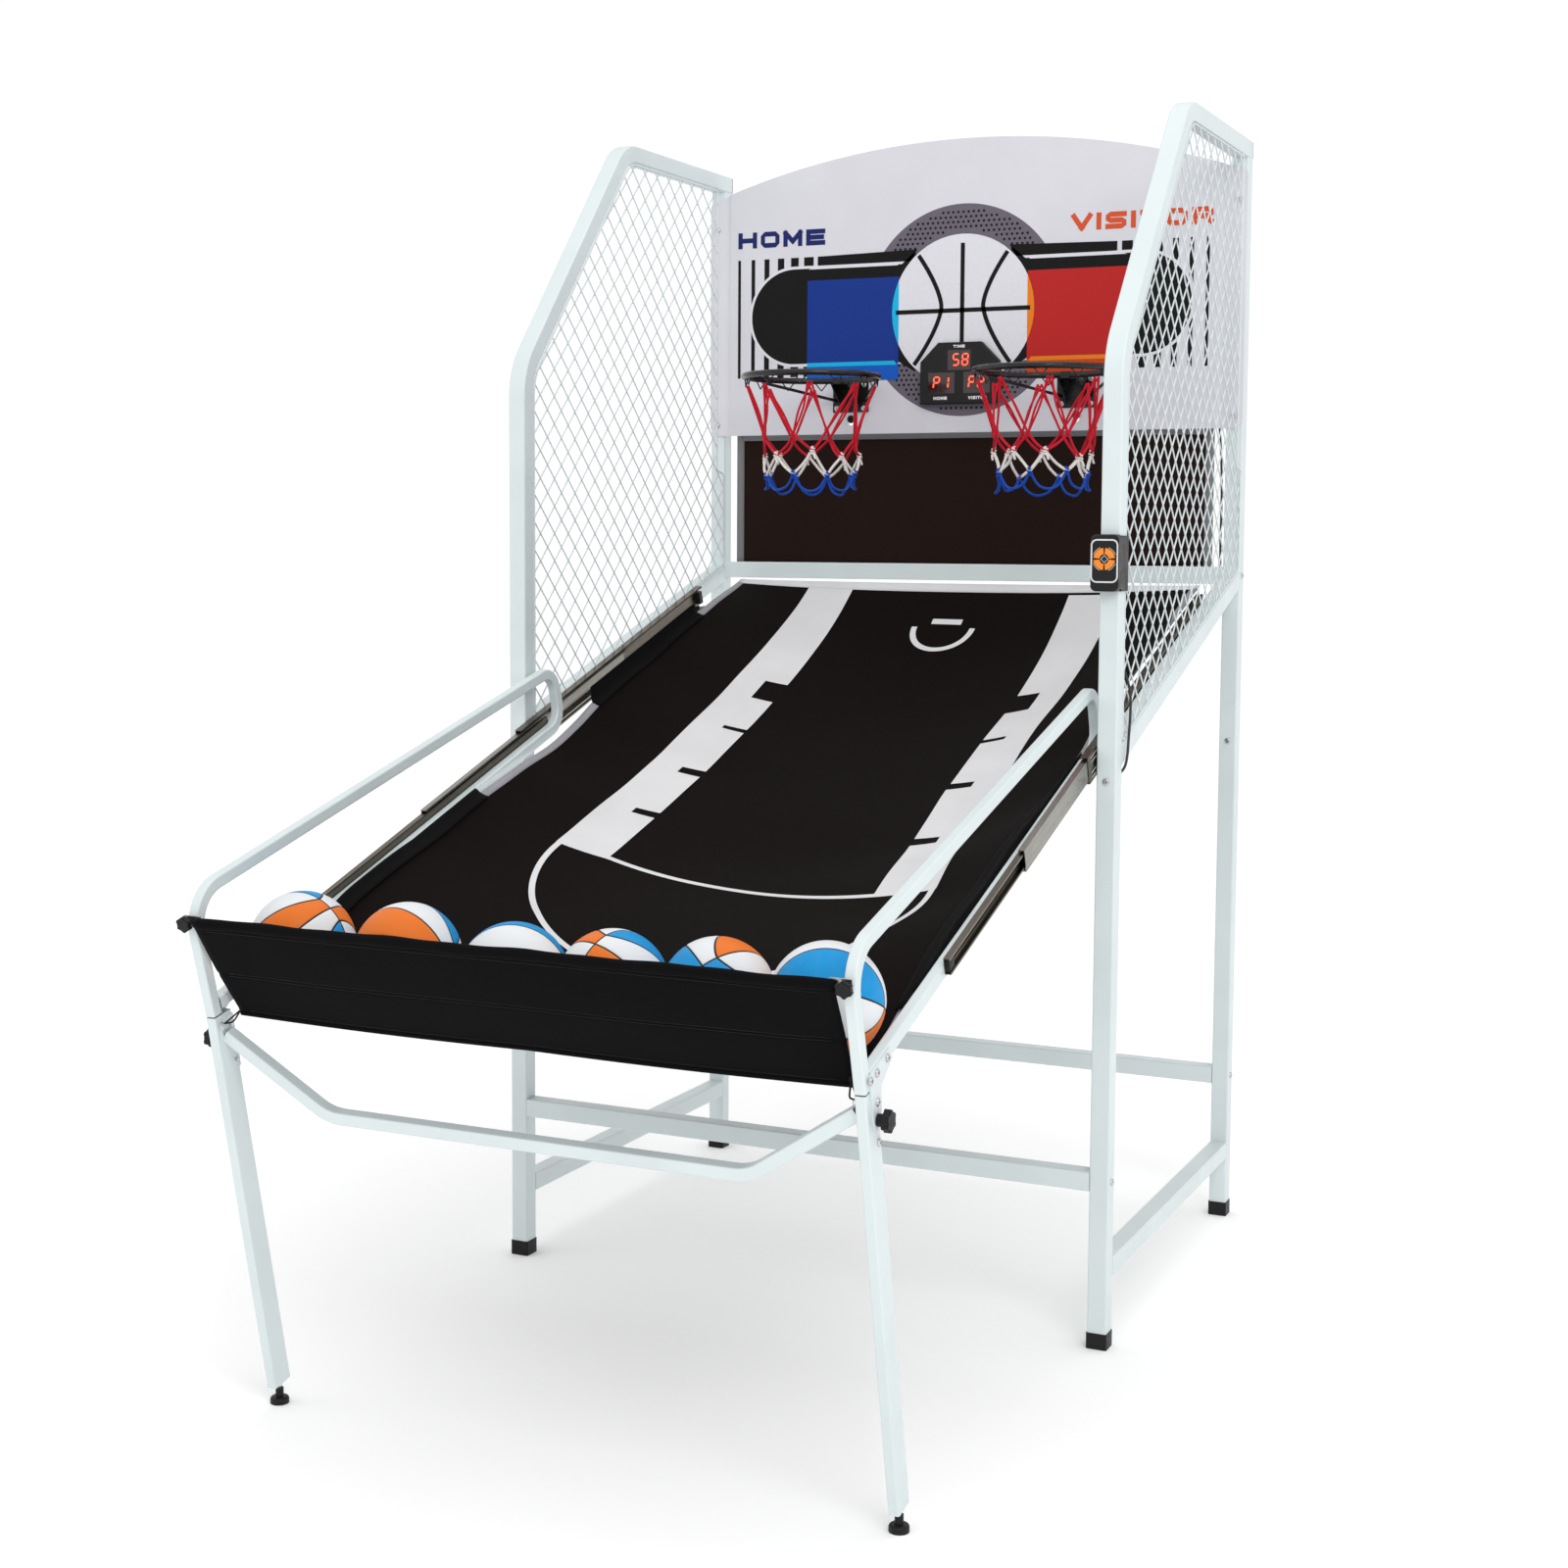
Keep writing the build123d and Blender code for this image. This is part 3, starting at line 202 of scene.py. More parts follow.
def plated_steel(name, colour, rough, along):
    """Rolled and plated steel: drawing lines along the metal, mottled plating."""
    s = Shader(name)
    lines = s.noise(1.0, 3, 0.6, s.stretched(along, ALONG_RAMP))
    mottle = s.noise(40, 4, 0.6)
    s.set(Base_Color=s.tone(s.spread(mottle, 0.3, 0.75), colour, 0.9, 1.06))
    s.set(Metallic=1.0, Roughness=s.spread(lines, 0.3, 0.7, rough - 0.1, rough + 0.16))
    s.bump(lines, 0.00012, 0.4)
    return s.material


def chrome_bolt(name):
    """Chromed bolt heads with dull, scuffed patches."""
    s = Shader(name)
    s.set(Base_Color=s.mix(s.noise(300, 2), (0.42, 0.42, 0.43), (0.72, 0.72, 0.73)))
    s.set(Metallic=1.0, Roughness=s.spread(s.noise(500, 3), 0.35, 0.7, 0.14, 0.38))
    s.bump(s.noise(1200, 2), 0.00008, 0.4)
    return s.material


def gloss_paint(name, colour, rough=0.22):
    """Thick gloss paint over welded rod."""
    s = Shader(name)
    s.set(Base_Color=s.tone(s.noise(60, 3), colour, 0.8, 1.3))
    s.set(Roughness=s.wander(90, 3, rough - 0.05, rough + 0.12))
    s.set(Coat_Weight=0.22, Coat_Roughness=0.12, Specular_IOR_Level=0.3)
    s.bump(s.noise(260, 3), 0.0003, 0.5)
    return s.material


def laminate(name, colour):
    """Printed laminate: a faint mottle, slight sheen, long soft waviness."""
    s = Shader(name)
    s.set(Base_Color=s.tone(s.wander(9, 4, 0.0, 1.0), colour, 0.965, 1.015))
    s.set(Roughness=s.wander(40, 3, 0.38, 0.5))
    s.bump(s.noise(1400, 2), 0.00005, 0.5)
    s.bump(s.noise(5, 2), 0.003, 0.12)
    return s.material


def print_ink_and_shade(name, colour):
    """Printed ink with the laminate's fine tooth showing through; the same flat finish also paints shade in
    holes.
    """
    s = Shader(name)
    patchy = s.spread(s.noise(160, 3, 0.6), 0.35, 0.7)
    s.set(Base_Color=s.tone(patchy, colour, 0.965, 1.02))
    s.set(Roughness=s.wander(50, 3, 0.36, 0.48), Specular_IOR_Level=0.12)
    s.bump(s.noise(1400, 2), 0.00005, 0.5)
    return s.material


def woven(name, colour, pitch, turn, sheen, contrast):
    """Plain weave whose threads run along the two directions of the turned X and Y axes."""
    s = Shader(name)
    x, y = s.split(s.stretched(turn=turn))[:2]
    frequency = 2 * pi / pitch
    warp = s.math("SINE", s.math("MULTIPLY", x, frequency))
    weft = s.math("SINE", s.math("MULTIPLY", y, frequency))
    over = s.spread(s.math("MULTIPLY", warp, weft), -1, 1)
    fibre = s.noise(2600, 2)
    cloud = s.noise(6, 3, 0.6)
    base = s.tone(s.spread(over, 0.2, 0.8), colour, 1 - contrast, 1 + contrast * 0.5)
    base = s.mix(s.spread(cloud, 0.3, 0.7, 0.0, 0.35), base, shade(colour, 0.7))
    base = s.mix(s.spread(fibre, 0.6, 0.8, 0.0, 0.25), base, shade(colour, 1.7))
    s.set(Base_Color=base, Sheen_Weight=sheen, Sheen_Roughness=0.4, Specular_IOR_Level=0.05)
    s.set(Roughness=s.spread(fibre, 0.3, 0.7, 0.77, 0.95))
    s.bump(over, 0.0003, 0.7)
    s.bump(fibre, 0.0001, 0.4)
    return s.material


def cord_fibre(name, colour):
    """Braided polyester cord."""
    s = Shader(name)
    strand = s.noise(700, 3, 0.7)
    s.set(Base_Color=s.tone(s.spread(strand, 0.3, 0.7), colour, 0.62, 1.15))
    s.set(Roughness=0.7, Sheen_Weight=0.06, Specular_IOR_Level=0.15)
    s.bump(strand, 0.0009, 0.8)
    s.bump(s.cells(1500), 0.0003, 0.5)
    return s.material


def jacket_rubber(name, colour):
    """Soft black rubber, a little chalky."""
    s = Shader(name)
    s.set(Base_Color=s.tone(s.noise(80, 3), colour, 0.7, 1.5))
    s.set(Roughness=s.wander(120, 3, 0.45, 0.65))
    s.bump(s.noise(800, 2), 0.0001, 0.5)
    return s.material


def display_window(name):
    """Dark red acrylic in front of the digits."""
    s = Shader(name)
    s.set(Base_Color=s.mix(s.noise(80, 2), (0.020, 0.004, 0.004), (0.032, 0.006, 0.006)))
    s.set(Roughness=s.wander(200, 3, 0.08, 0.2), Coat_Weight=0.6, Coat_Roughness=0.05)
    s.bump(s.noise(30, 2), 0.0002, 0.2)
    return s.material


def glowing_segment(name):
    """Lit red digits."""
    s = Shader(name)
    red = s.mix(s.noise(500, 2), (0.9, 0.03, 0.01), (1.0, 0.12, 0.05))
    s.set(Base_Color=red, Emission_Color=red, Emission_Strength=2.2, Roughness=0.4)
    return s.material


WHITE_PANEL = (0.74, 0.76, 0.78)
BLUE_PANEL = (0.001, 0.27, 0.62)
ORANGE_PANEL = (0.76, 0.17, 0.014)
SEAM_WAIST = 0.286  # the side seams' distance from the middle seam, over the radius, where they are nearest
SEAM_FLARE = 0.549  # how much further out they swing


def ball_rubber(name, inner_tone, outer_tone):
    """Pebbled rubber in eight panels, white and coloured by turns, with black seams between them."""
    s = Shader(name)
    x, _, z = s.split()
    away_x = s.math("DIVIDE", s.math("ABSOLUTE", x), BALL_RADIUS)
    away_z = s.math("DIVIDE", s.math("ABSOLUTE", z), BALL_RADIUS)
    side = s.math("MULTIPLY_ADD", s.math("POWER", away_z, 1.4), SEAM_FLARE, SEAM_WAIST)
    beyond = s.math("SUBTRACT", away_x, side)
    outer = s.math("GREATER_THAN", beyond, 0.0)
    crossed = s.math("LESS_THAN", s.math("MULTIPLY", x, z), 0.0)
    painted = s.math("ABSOLUTE", s.math("SUBTRACT", crossed, outer))
    colour = s.mix(painted, WHITE_PANEL, s.mix(outer, inner_tone, outer_tone))
    side_seam = s.math("MULTIPLY", s.math("ABSOLUTE", beyond), 0.85)
    seam = s.math("MINIMUM", s.math("MINIMUM", away_x, away_z), side_seam)
    line = s.spread(seam, 0.0135, 0.0185, 1.0, 0.0)
    worn = s.spread(s.noise(55, 4, 0.6), 0.4, 0.75, 0.0, 0.04)
    colour = s.mix(worn, colour, (0.45, 0.43, 0.42))
    s.set(Base_Color=s.mix(line, colour, (0.012, 0.012, 0.013)))
    pebble = s.spread(s.cells(620), 0.0, 0.7, 1.0, 0.0)
    s.set(Roughness=s.spread(pebble, 0, 1, 0.55, 0.40), Specular_IOR_Level=0.2, Coat_Weight=0.03)
    s.bump(pebble, 0.0004, 0.5)
    s.bump(s.spread(seam, 0.0, 0.035), 0.0009, 0.9)
    return s.material


def studio_floor():
    """White paper that glows a little, so that shadows stay soft."""
    s = Shader("studio_floor")
    s.set(Base_Color=s.mix(s.noise(2, 2), (0.95, 0.95, 0.95), (0.98, 0.98, 0.98)), Roughness=1.0)
    s.set(Specular_IOR_Level=0.0, Emission_Color=(1.0, 1.0, 1.0), Emission_Strength=0.13)
    return s.material


MINT = (0.650, 0.722, 0.732)
LOOKS = {
    "frame_paint": powder_coat("frame_paint_look", MINT),
    "mesh_wire": powder_coat("mesh_wire_look", (0.64, 0.70, 0.71), 0.45),
    "black_plastic": moulded_plastic("black_plastic_look", (0.008, 0.008, 0.009), 0.45),
    "board_laminate": laminate("board_laminate_look", (0.635, 0.63, 0.678)),
    "score_housing": moulded_plastic("score_housing_look", (0.010, 0.010, 0.011), 0.42, 2200),
    "score_window": display_window("score_window_look"),
    "hoop_paint": gloss_paint("hoop_paint_look", (0.006, 0.006, 0.007)),
    # Painted reflection: both slide colours are darkened below bare plating to stand in for the dark
    # surroundings the metal reflects; the grey and bronze tints are the plating's own.
    "slide_steel": plated_steel("slide_steel_look", (0.15, 0.13, 0.105), 0.28, (700, 5, 700)),
    "slide_zinc": plated_steel("slide_zinc_look", (0.31, 0.295, 0.265), 0.26, (700, 5, 700)),
    "rod_steel": plated_steel("rod_steel_look", (0.50, 0.51, 0.52), 0.3, (6, 600, 600)),
    "keypad_grey": moulded_plastic("keypad_grey_look", (0.011, 0.011, 0.012), 0.38, 1800),
    "button_orange": moulded_plastic("button_orange_look", (0.88, 0.25, 0.03), 0.35, 1800, 0.00006),
    "bolt_chrome": chrome_bolt("bolt_chrome_look"),
    "cable_rubber": jacket_rubber("cable_rubber_look", (0.018, 0.018, 0.019)),
    "elastic": cord_fibre("elastic_look", (0.016, 0.016, 0.017)),
}


def dress_cad_nodes():
    """Every carried-over CAD node gets the look of its slot."""
    for part in RECORD["subparts"]:
        look = LOOKS.get(part["material_slot"])
        if look is not None:
            mesh = NODES[part["node"]].data
            mesh.materials.clear()
            mesh.materials.append(look)


# ---- mesh helpers
def new_piece(name, mesh, look, body, smooth=True):
    """Put a finished mesh in the scene, riding on a body."""
    piece = bpy.data.objects.new(name, mesh)
    bpy.context.scene.collection.objects.link(piece)
    mesh.materials.clear()
    mesh.materials.append(look)
    if smooth:
        mesh.polygons.foreach_set("use_smooth", [True] * len(mesh.polygons))
    if body is not None:
        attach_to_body(piece, body)
    return piece


def mesh_of(*shapes):
    """One mesh of one or more (points, faces) pairs."""
    points, faces = [], []
    for more_points, more_faces in shapes:
        start = len(points)
        points += more_points
        faces += [tuple(start + i for i in face) for face in more_faces]
    mesh = bpy.data.meshes.new("mesh")
    mesh.from_pydata([tuple(p) for p in points], [], faces)
    mesh.update()
    return mesh


def finished(made, name):
    """The plain mesh of a bmesh, which is then freed."""
    mesh = bpy.data.meshes.new(name)
    made.to_mesh(mesh)
    made.free()
    return mesh


def thick_grid(rows, thickness):
    """A closed shell round a grid of points; it grows by the thickness along the grid's normals."""
    tall, wide = len(rows), len(rows[0])
    normals = []
    for r in range(tall):
        line = []
        for c in range(wide):
            along = Vector(rows[min(r + 1, tall - 1)][c]) - Vector(rows[max(r - 1, 0)][c])
            across = Vector(rows[r][min(c + 1, wide - 1)]) - Vector(rows[r][max(c - 1, 0)])
            line.append(across.cross(along).normalized())
        normals.append(line)
    top = [Vector(p) for row in rows for p in row]
    flat_normals = [n for row in normals for n in row]
    low = [p - n * thickness for p, n in zip(top, flat_normals)]
    size = tall * wide
    faces = []
    for r in range(tall - 1):
        for c in range(wide - 1):
            a, b = r * wide + c, r * wide + c + 1
            d, e = a + wide, b + wide
            faces.append((a, b, e, d))
            faces.append((size + a, size + d, size + e, size + b))
    rim = list(range(wide))
    rim += [r * wide + wide - 1 for r in range(1, tall)]
    rim += [(tall - 1) * wide + c for c in range(wide - 2, -1, -1)]
    rim += [r * wide for r in range(tall - 2, 0, -1)]
    for a, b in zip(rim, rim[1:] + rim[:1]):
        faces.append((b, a, size + a, size + b))
    return top + low, faces


def tube(path, radius, sides=8, closed=False):
    """A round tube along a list of points; the radius is a number, or a function of the share done."""
    path = [Vector(p) for p in path]
    count = len(path)
    points, faces = [], []
    side_way = None
    for i, p in enumerate(path):
        if closed:
            way = path[(i + 1) % count] - path[i - 1]
        else:
            way = path[min(i + 1, count - 1)] - path[max(i - 1, 0)]
        way.normalize()
        if side_way is None:
            side_way = way.orthogonal().normalized()
        side_way = (side_way - way * side_way.dot(way)).normalized()
        other = way.cross(side_way)
        reach = radius(i / max(count - 1, 1)) if callable(radius) else radius
        for k in range(sides):
            turn = 2 * pi * k / sides
            points.append(p + (side_way * cos(turn) + other * sin(turn)) * reach)
    rings = count if closed else count - 1
    for i in range(rings):
        here, there = i * sides, ((i + 1) % count) * sides
        for k in range(sides):
            j = (k + 1) % sides
            faces.append((here + k, here + j, there + j, there + k))
    if not closed:
        faces.append(tuple(range(sides - 1, -1, -1)))
        faces.append(tuple((count - 1) * sides + k for k in range(sides)))
    return points, faces


def smooth_path(points, steps=6):
    """A Catmull-Rom curve through the points."""
    pts = [Vector(p) for p in points]
    padded = [pts[0] * 2 - pts[1]] + pts + [pts[-1] * 2 - pts[-2]]
    out = []
    for a, b, c, d in zip(padded, padded[1:], padded[2:], padded[3:]):
        for k in range(steps):
            t = k / steps
            square = (2 * a - 5 * b + 4 * c - d) * t * t
            cube = (3 * b - a - 3 * c + d) * t**3
            out.append(0.5 * ((2 * b) + (c - a) * t + square + cube))
    out.append(pts[-1])
    return out


def interpolate(stops, value):
    """A smooth curve through (place, height) stops, level at local peaks and troughs."""
    if value <= stops[0][0]:
        return stops[0][1]
    if value >= stops[-1][0]:
        return stops[-1][1]
    steps = [(b[1] - a[1]) / (b[0] - a[0]) for a, b in zip(stops, stops[1:])]
    slopes = [steps[0]]
    for before, after in zip(steps, steps[1:]):
        slopes.append(0.0 if before * after <= 0 else 2 * before * after / (before + after))
    slopes.append(steps[-1])
    for i, (a, b) in enumerate(zip(stops, stops[1:])):
        if a[0] <= value <= b[0]:
            h = b[0] - a[0]
            t = (value - a[0]) / h
            return (
                a[1] * (1 + 2 * t) * (1 - t) ** 2
                + slopes[i] * h * t * (1 - t) ** 2
                + b[1] * t * t * (3 - 2 * t)
                + slopes[i + 1] * h * t * t * (t - 1)
            )


# ---- flat printed shapes
def arc(cx, cy, radius, start, end, steps=32):
    """Points on an arc, degrees from start to end."""
    turns = [radians(start + (end - start) * k / steps) for k in range(steps + 1)]
    return [(cx + radius * cos(t), cy + radius * sin(t)) for t in turns]


def side_box(sign, inner, outer, low, high):
    """A rectangle on one side of the middle, between two distances from it."""
    x0, x1 = sorted((sign * inner, sign * outer))
    return [(x0, low), (x1, low), (x1, high), (x0, high)]


def on_side(sign, points):
    """The same outline on the right (1), or mirrored to the left (-1)."""
    return [(sign * x, y) for x, y in points]


def ribbon(points, width):
    """The outline pieces of a line of even width: one quad for each step."""
    quads = []
    edges = []
    for i, (x, y) in enumerate(points):
        x0, y0 = points[max(i - 1, 0)]
        x1, y1 = points[min(i + 1, len(points) - 1)]
        long = hypot(x1 - x0, y1 - y0)
        nx, ny = -(y1 - y0) / long * width / 2, (x1 - x0) / long * width / 2
        edges.append(((x + nx, y + ny), (x - nx, y - ny)))
    for (a, b), (c, d) in zip(edges, edges[1:]):
        quads.append([a, b, d, c])
    return quads


def printed_mesh(outlines, place, cell=None):
    """Flat outlines, cut along a grid of cells if one is given, then put in place point by point."""
    made = bmesh.new()
    for outline in outlines:
        face = made.faces.new([made.verts.new((x, y, 0)) for x, y in outline])
        if face.calc_area() < 1e-12:
            made.faces.remove(face)
    made.normal_update()
    if cell:
        xs = [v.co.x for v in made.verts]
        ys = [v.co.y for v in made.verts]
        for low, high, normal in ((min(xs), max(xs), (1, 0, 0)), (min(ys), max(ys), (0, 1, 0))):
            for k in range(int(low // cell), int(high // cell) + 1):
                everything = made.verts[:] + made.edges[:] + made.faces[:]
                at = Vector(normal) * (k * cell)
                bmesh.ops.bisect_plane(made, geom=everything, plane_co=at, plane_no=normal, dist=1e-7)
    bmesh.ops.triangulate(made, faces=made.faces[:])
    bmesh.ops.remove_doubles(made, verts=made.verts[:], dist=1e-6)
    for vert in made.verts:
        vert.co = place(vert.co.x, vert.co.y)
    return finished(made, "print")


def printed(name, outlines, place, look, body="cage"):
    """A thin flat-shaded print on a surface; it also lays painted shade in holes."""
    return new_piece(name, printed_mesh(outlines, place), look, body, smooth=False)


# ---- camera and studio
LENS = 51.4
LENS_SHIFT = (0.0134, -0.0394)
CAMERA_AZIMUTH = radians(25.23)
CAMERA_ELEVATION = radians(4.76)
CAMERA_ROLL = radians(0.30)
CAMERA_PLACE = Vector((1.535, POST_FRONT - 3.379, 1.293))
BACKDROP_LIGHT = 0.92  # strength of the white surroundings as a light
BACKDROP_SEEN = 1.04  # and as what the camera sees
FLOOR_HALF = 30


def camera():
    data = bpy.data.cameras.new("camera")
    data.lens = LENS
    data.sensor_width = 36
    data.shift_x, data.shift_y = LENS_SHIFT
    data.dof.use_dof = False
    cam = bpy.data.objects.new("camera", data)
    bpy.context.scene.collection.objects.link(cam)
    a, e = CAMERA_AZIMUTH, CAMERA_ELEVATION
    back = Vector((sin(a) * cos(e), -cos(a) * cos(e), sin(e)))
    right = Vector((0, 0, 1)).cross(back).normalized()
    up = back.cross(right)
    tilted = right * cos(CAMERA_ROLL) + up * sin(CAMERA_ROLL)
    up = back.cross(tilted)
    turn = Matrix((tilted, up, back)).transposed()
    cam.matrix_world = Matrix.Translation(CAMERA_PLACE) @ turn.to_4x4()
    bpy.context.scene.camera = cam


def area_light(name, place, target, size, power):
    data = bpy.data.lights.new(name, "AREA")
    data.shape = "SQUARE"
    data.size = size
    data.energy = power
    light = bpy.data.objects.new(name, data)
    bpy.context.scene.collection.objects.link(light)
    light.location = place
    light.rotation_mode = "QUATERNION"
    light.rotation_quaternion = (Vector(target) - Vector(place)).to_track_quat("-Z", "Y")


def studio():
    world = bpy.data.worlds.new("studio")
    bpy.context.scene.world = world
    world.use_nodes = True
    tree = world.node_tree
    backdrop = tree.nodes["Background"]
    backdrop.inputs["Color"].default_value = (1.0, 1.0, 1.0, 1)
    ray = tree.nodes.new("ShaderNodeLightPath")
    strength = tree.nodes.new("ShaderNodeMath")
    strength.operation = "MULTIPLY_ADD"
    strength.inputs[1].default_value = BACKDROP_SEEN - BACKDROP_LIGHT
    strength.inputs[2].default_value = BACKDROP_LIGHT
    tree.links.new(ray.outputs["Is Camera Ray"], strength.inputs[0])
    tree.links.new(strength.outputs[0], backdrop.inputs["Strength"])
    middle = (0, 0, 1.0)
    area_light("key", (2.9, -3.4, 4.0), middle, 2.4, 75)
    area_light("fill", (-3.8, -2.2, 2.4), middle, 2.4, 12)
    area_light("top", (0.2, 0.4, 4.6), middle, 3.0, 14)
    h = FLOOR_HALF
    mesh = mesh_of(([(-h, -h, 0), (h, -h, 0), (h, h, 0), (-h, h, 0)], [(0, 1, 2, 3)]))
    mesh.materials.append(studio_floor())
    floor = bpy.data.objects.new("floor", mesh)
    bpy.context.scene.collection.objects.link(floor)
    bpy.context.scene.view_settings.view_transform = "Standard"


# ---- the keypad's cable
# From the keypad down round the front post, up along the ramp tube and the rear upright, and across
# behind the board to the score unit, in millimetres.
CABLE_ROUTE = (
    (540, 95.5, 1222),
    (540, 106, 1221),
    (539, 112, 1203),
    (538, 115, 1165),
    (537, 119, 1125),
    (540, 121, 1098),
    (549, 121.5, 1076),
    (557, 121, 1050),
    (558, 119, 1015),
    (557.5, 112, 977),
    (558, 106, 949),
    (555, 101, 930),
    (545, 99, 921),
    (533, 104, 921),
    (527, 125, 931),
    (526, 165, 952),
    (528, 225, 973),
    (530, 285, 993),
    (529, 345, 1014),
    (531, 405, 1034),
    (530, 465, 1056),
    (528, 525, 1075),
    (529, 585, 1097),
    (527, 645, 1116),
    (524, 705, 1138),
    (518, 765, 1156),
    (511, 820, 1170),
    (508, 868, 1182),
    (507, 896, 1200),
    (506, 895, 1236),
    (506, 891, 1290),
    (508, 887, 1345),
    (509, 880, 1400),
    (508, 874, 1455),
    (505, 868, 1510),
    (497, 862, 1556),
    (476, 857, 1592),
    (438, 854, 1607),
    (385, 853.5, 1603),
    (325, 853, 1605),
    (265, 853.5, 1604),
    (205, 853, 1606),
    (145, 854, 1603),
    (90, 856, 1605),
    (45, 861, 1603),
    (18, 868, 1604),
    (4, 862, 1604),
    (2, 848.5, 1604),
)
CABLE_DIAMETER = 0.0044


def keypad_cable():
    data = bpy.data.curves.new("keypad_cable_line", "CURVE")
    data.dimensions = "3D"
    data.bevel_depth = CABLE_DIAMETER / 2
    data.bevel_resolution = 3
    data.resolution_u = 6
    spline = data.splines.new("NURBS")
    spline.points.add(len(CABLE_ROUTE) - 1)
    for point, place in zip(spline.points, CABLE_ROUTE):
        point.co = (*(c * MM for c in place), 1)
    spline.order_u = 3
    spline.use_endpoint_u = True
    data.materials.append(LOOKS["cable_rubber"])
    cable = bpy.data.objects.new("keypad_cable_jacket", data)
    bpy.context.scene.collection.objects.link(cable)
    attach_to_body(cable, "cage")
    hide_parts("keypad_cable")


# ---- backboard print
BOARD_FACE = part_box("backboard")[0].y
INK_STEP = 0.00018  # how far each printed layer stands off the one below
DISC_Z = 1.7335
DISC_RADIUS = 0.147
HALO_RADIUS = 0.205
PILL_HALF = 0.0945
PILL_REACH = 0.3595
BAR_TOP, BAR_LOW = 1.851, 1.833
STRIPE_LOW = 1.613
PATCH_IN, PATCH_OUT, PATCH_LOW, PATCH_TOP = 0.133, 0.331, 1.603, 1.804
SEAM_LINE = 0.0085
DOT_PITCH, DOT_RADIUS = 0.0105, 0.0027
BOARD_BLACK = (0.0062, 0.0058, 0.0062)
BOARD_PALE = (0.69, 0.685, 0.735)
HALO_GREY = (0.135, 0.12, 0.15)
# Side, patch, strip along its foot, and thin line over the strip.
PATCHES = {
    "blue": (-1, (0.008, 0.034, 0.235), (0.008, 0.10, 0.50), (0.01, 0.42, 0.72)),
    "red": (1, (0.46, 0.019, 0.018), (0.55, 0.060, 0.010), (0.76, 0.20, 0.015)),
}
STRIPE_STARTS = (0.486, 0.456, 0.427, 0.397, 0.368, 0.339, 0.309)
STRIPE_WIDTHS = (0.006, 0.008, 0.011, 0.014, 0.017, 0.021, 0.024)


def on_board(layer):
    """Places flat X and Z on the board's face, a number of ink layers up."""
    y = BOARD_FACE - INK_STEP * layer
    return lambda x, z: Vector((x, y, z))


def ink(name, outlines, colour, layer):
    printed(name, outlines, on_board(layer), print_ink_and_shade(name + "_look", colour))


def pill(half):
    """The long band with round ends behind the disc."""
    left = arc(-PILL_REACH, DISC_Z, half, 90, 270, 40)
    right = arc(PILL_REACH, DISC_Z, half, -90, 90, 40)
    return left + right


def disc_seam(sign):
    """One curved seam of the printed ball, from top to bottom."""
    line = []
    for k in range(41):
        z = DISC_Z + 0.115 - 0.230 * k / 40
        bow = abs(z - DISC_Z - 0.008) / 0.100
        line.append((sign * (0.043 + 0.048 * bow**1.5), z))
    return [p for p in line if hypot(p[0], p[1] - DISC_Z) < DISC_RADIUS]


def halo_dots():
    """Staggered rows of dots over the grey ring."""
    dots = []
    rows = int(HALO_RADIUS / DOT_PITCH) + 1
    for r in range(-rows, rows + 1):
        for c in range(-rows, rows + 1):
            x = (c + 0.5 * (r % 2)) * DOT_PITCH
            z = r * DOT_PITCH * 0.9
            if DISC_RADIUS + 0.008 < hypot(x, z) < HALO_RADIUS - 0.010:
                dots.append(arc(x, DISC_Z + z, DOT_RADIUS, 0, 315, 7))
    return dots


